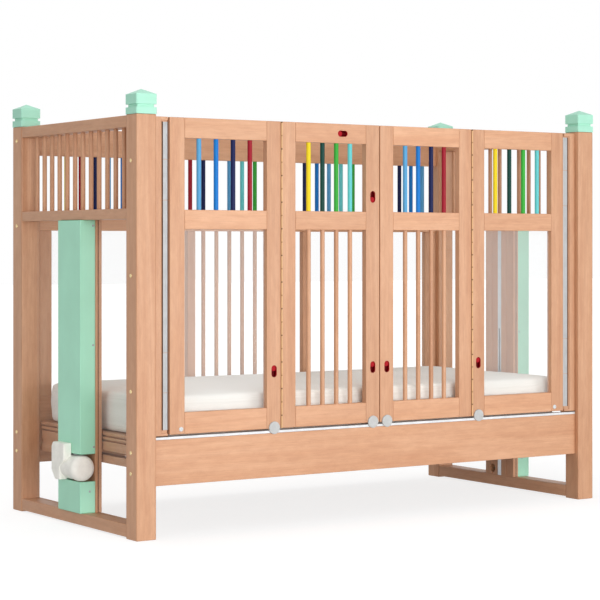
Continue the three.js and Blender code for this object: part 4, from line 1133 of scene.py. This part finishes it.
def mattress():
    """The mattress in its fitted sheet: a small copy swells as cloth, then gets tucks at its corners."""
    source = nodes["mattress"]
    low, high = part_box("mattress")
    centre = (low + high) / 2
    mesh = source.data.copy()
    mesh.materials.clear()
    mesh.materials.append(COVER[0])
    for vertex in mesh.vertices:
        for index in range(2):
            vertex.co[index] = centre[index] + (vertex.co[index] - centre[index]) * MATTRESS_START
        height = vertex.co.z - low.z
        side = min(height, MATTRESS_EDGE) * MATTRESS_SIDE / MATTRESS_EDGE
        crown = max(0.0, height - MATTRESS_EDGE) * MATTRESS_CROWN
        vertex.co.z = low.z + side + crown + MATTRESS_LIFT
    piece = bpy.data.objects.new("mattress_in_sheet", mesh)
    scene.collection.objects.link(piece)
    remesh = piece.modifiers.new("even_mesh", "REMESH")
    remesh.mode = "VOXEL"
    remesh.voxel_size = MATTRESS_VOXEL
    apply_modifiers(piece)
    rest = [vertex.co.copy() for vertex in piece.data.vertices]
    swell(piece)
    for vertex, place in zip(piece.data.vertices, rest):
        move = vertex.co - place
        if move.length > MATTRESS_CAP:
            vertex.co = place + move.normalized() * MATTRESS_CAP
        vertex.co.z = max(vertex.co.z, low.z)
        tuck(vertex, low, high)
    piece.data.polygons.foreach_set("use_smooth", [True] * len(piece.data.polygons))
    finer = piece.modifiers.new("finer", "SUBSURF")
    finer.levels = 1
    finer.render_levels = 1
    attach(piece, "lift_platform")
    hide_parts("mattress")


def apply_modifiers(piece):
    """Turns what the modifiers show into the piece's own mesh."""
    bpy.context.view_layer.update()
    evaluated = piece.evaluated_get(bpy.context.evaluated_depsgraph_get())
    made = bpy.data.meshes.new_from_object(evaluated)
    piece.modifiers.clear()
    piece.data = made


def swell(piece):
    """Lets air pressure fill the sheet for a few frames."""
    cloth = piece.modifiers.new("cloth", "CLOTH")
    settings = cloth.settings
    settings.quality = 4
    settings.mass = 0.4
    settings.tension_stiffness = 20
    settings.compression_stiffness = 20
    settings.shear_stiffness = 8
    settings.bending_stiffness = 2
    settings.use_pressure = True
    settings.uniform_pressure_force = 4
    settings.effector_weights.gravity = 0
    cloth.point_cache.frame_start = 1
    cloth.point_cache.frame_end = CLOTH_FRAMES
    for step in range(1, CLOTH_FRAMES + 1):
        scene.frame_set(step)
    apply_modifiers(piece)
    scene.frame_set(1)


def tuck(vertex, low, high):
    """Small gathers that fan out from each upright corner of the fitted sheet."""
    corner_x = high.x if vertex.co.x > (low.x + high.x) / 2 else low.x
    corner_y = high.y if vertex.co.y > (low.y + high.y) / 2 else low.y
    across = Vector((vertex.co.x - corner_x, vertex.co.y - corner_y))
    distance = across.length
    if distance > PLEAT_REACH:
        return
    height = (vertex.co.z - low.z) / (high.z - low.z)
    fade = (1 - distance / PLEAT_REACH) ** 2 * math.sin(math.pi * min(1.0, max(0.0, height)))
    wave = math.sin(PLEAT_RISE * height + PLEAT_FAN * (abs(across.x) - abs(across.y)))
    inward = -Vector((math.copysign(1, corner_x), math.copysign(1, corner_y), 0)).normalized()
    vertex.co += inward * PLEAT_HEIGHT * fade * wave


camera()
lights()
floor()
dressed_woodwork()
for each in DOORS:
    door(each)
for each in ("left", "right"):
    cot_end(each)
    hinge_strip(each)
    fold_hinge(each, each + "_outer_door")
back()
mattress()

scene.view_settings.view_transform = "Standard"
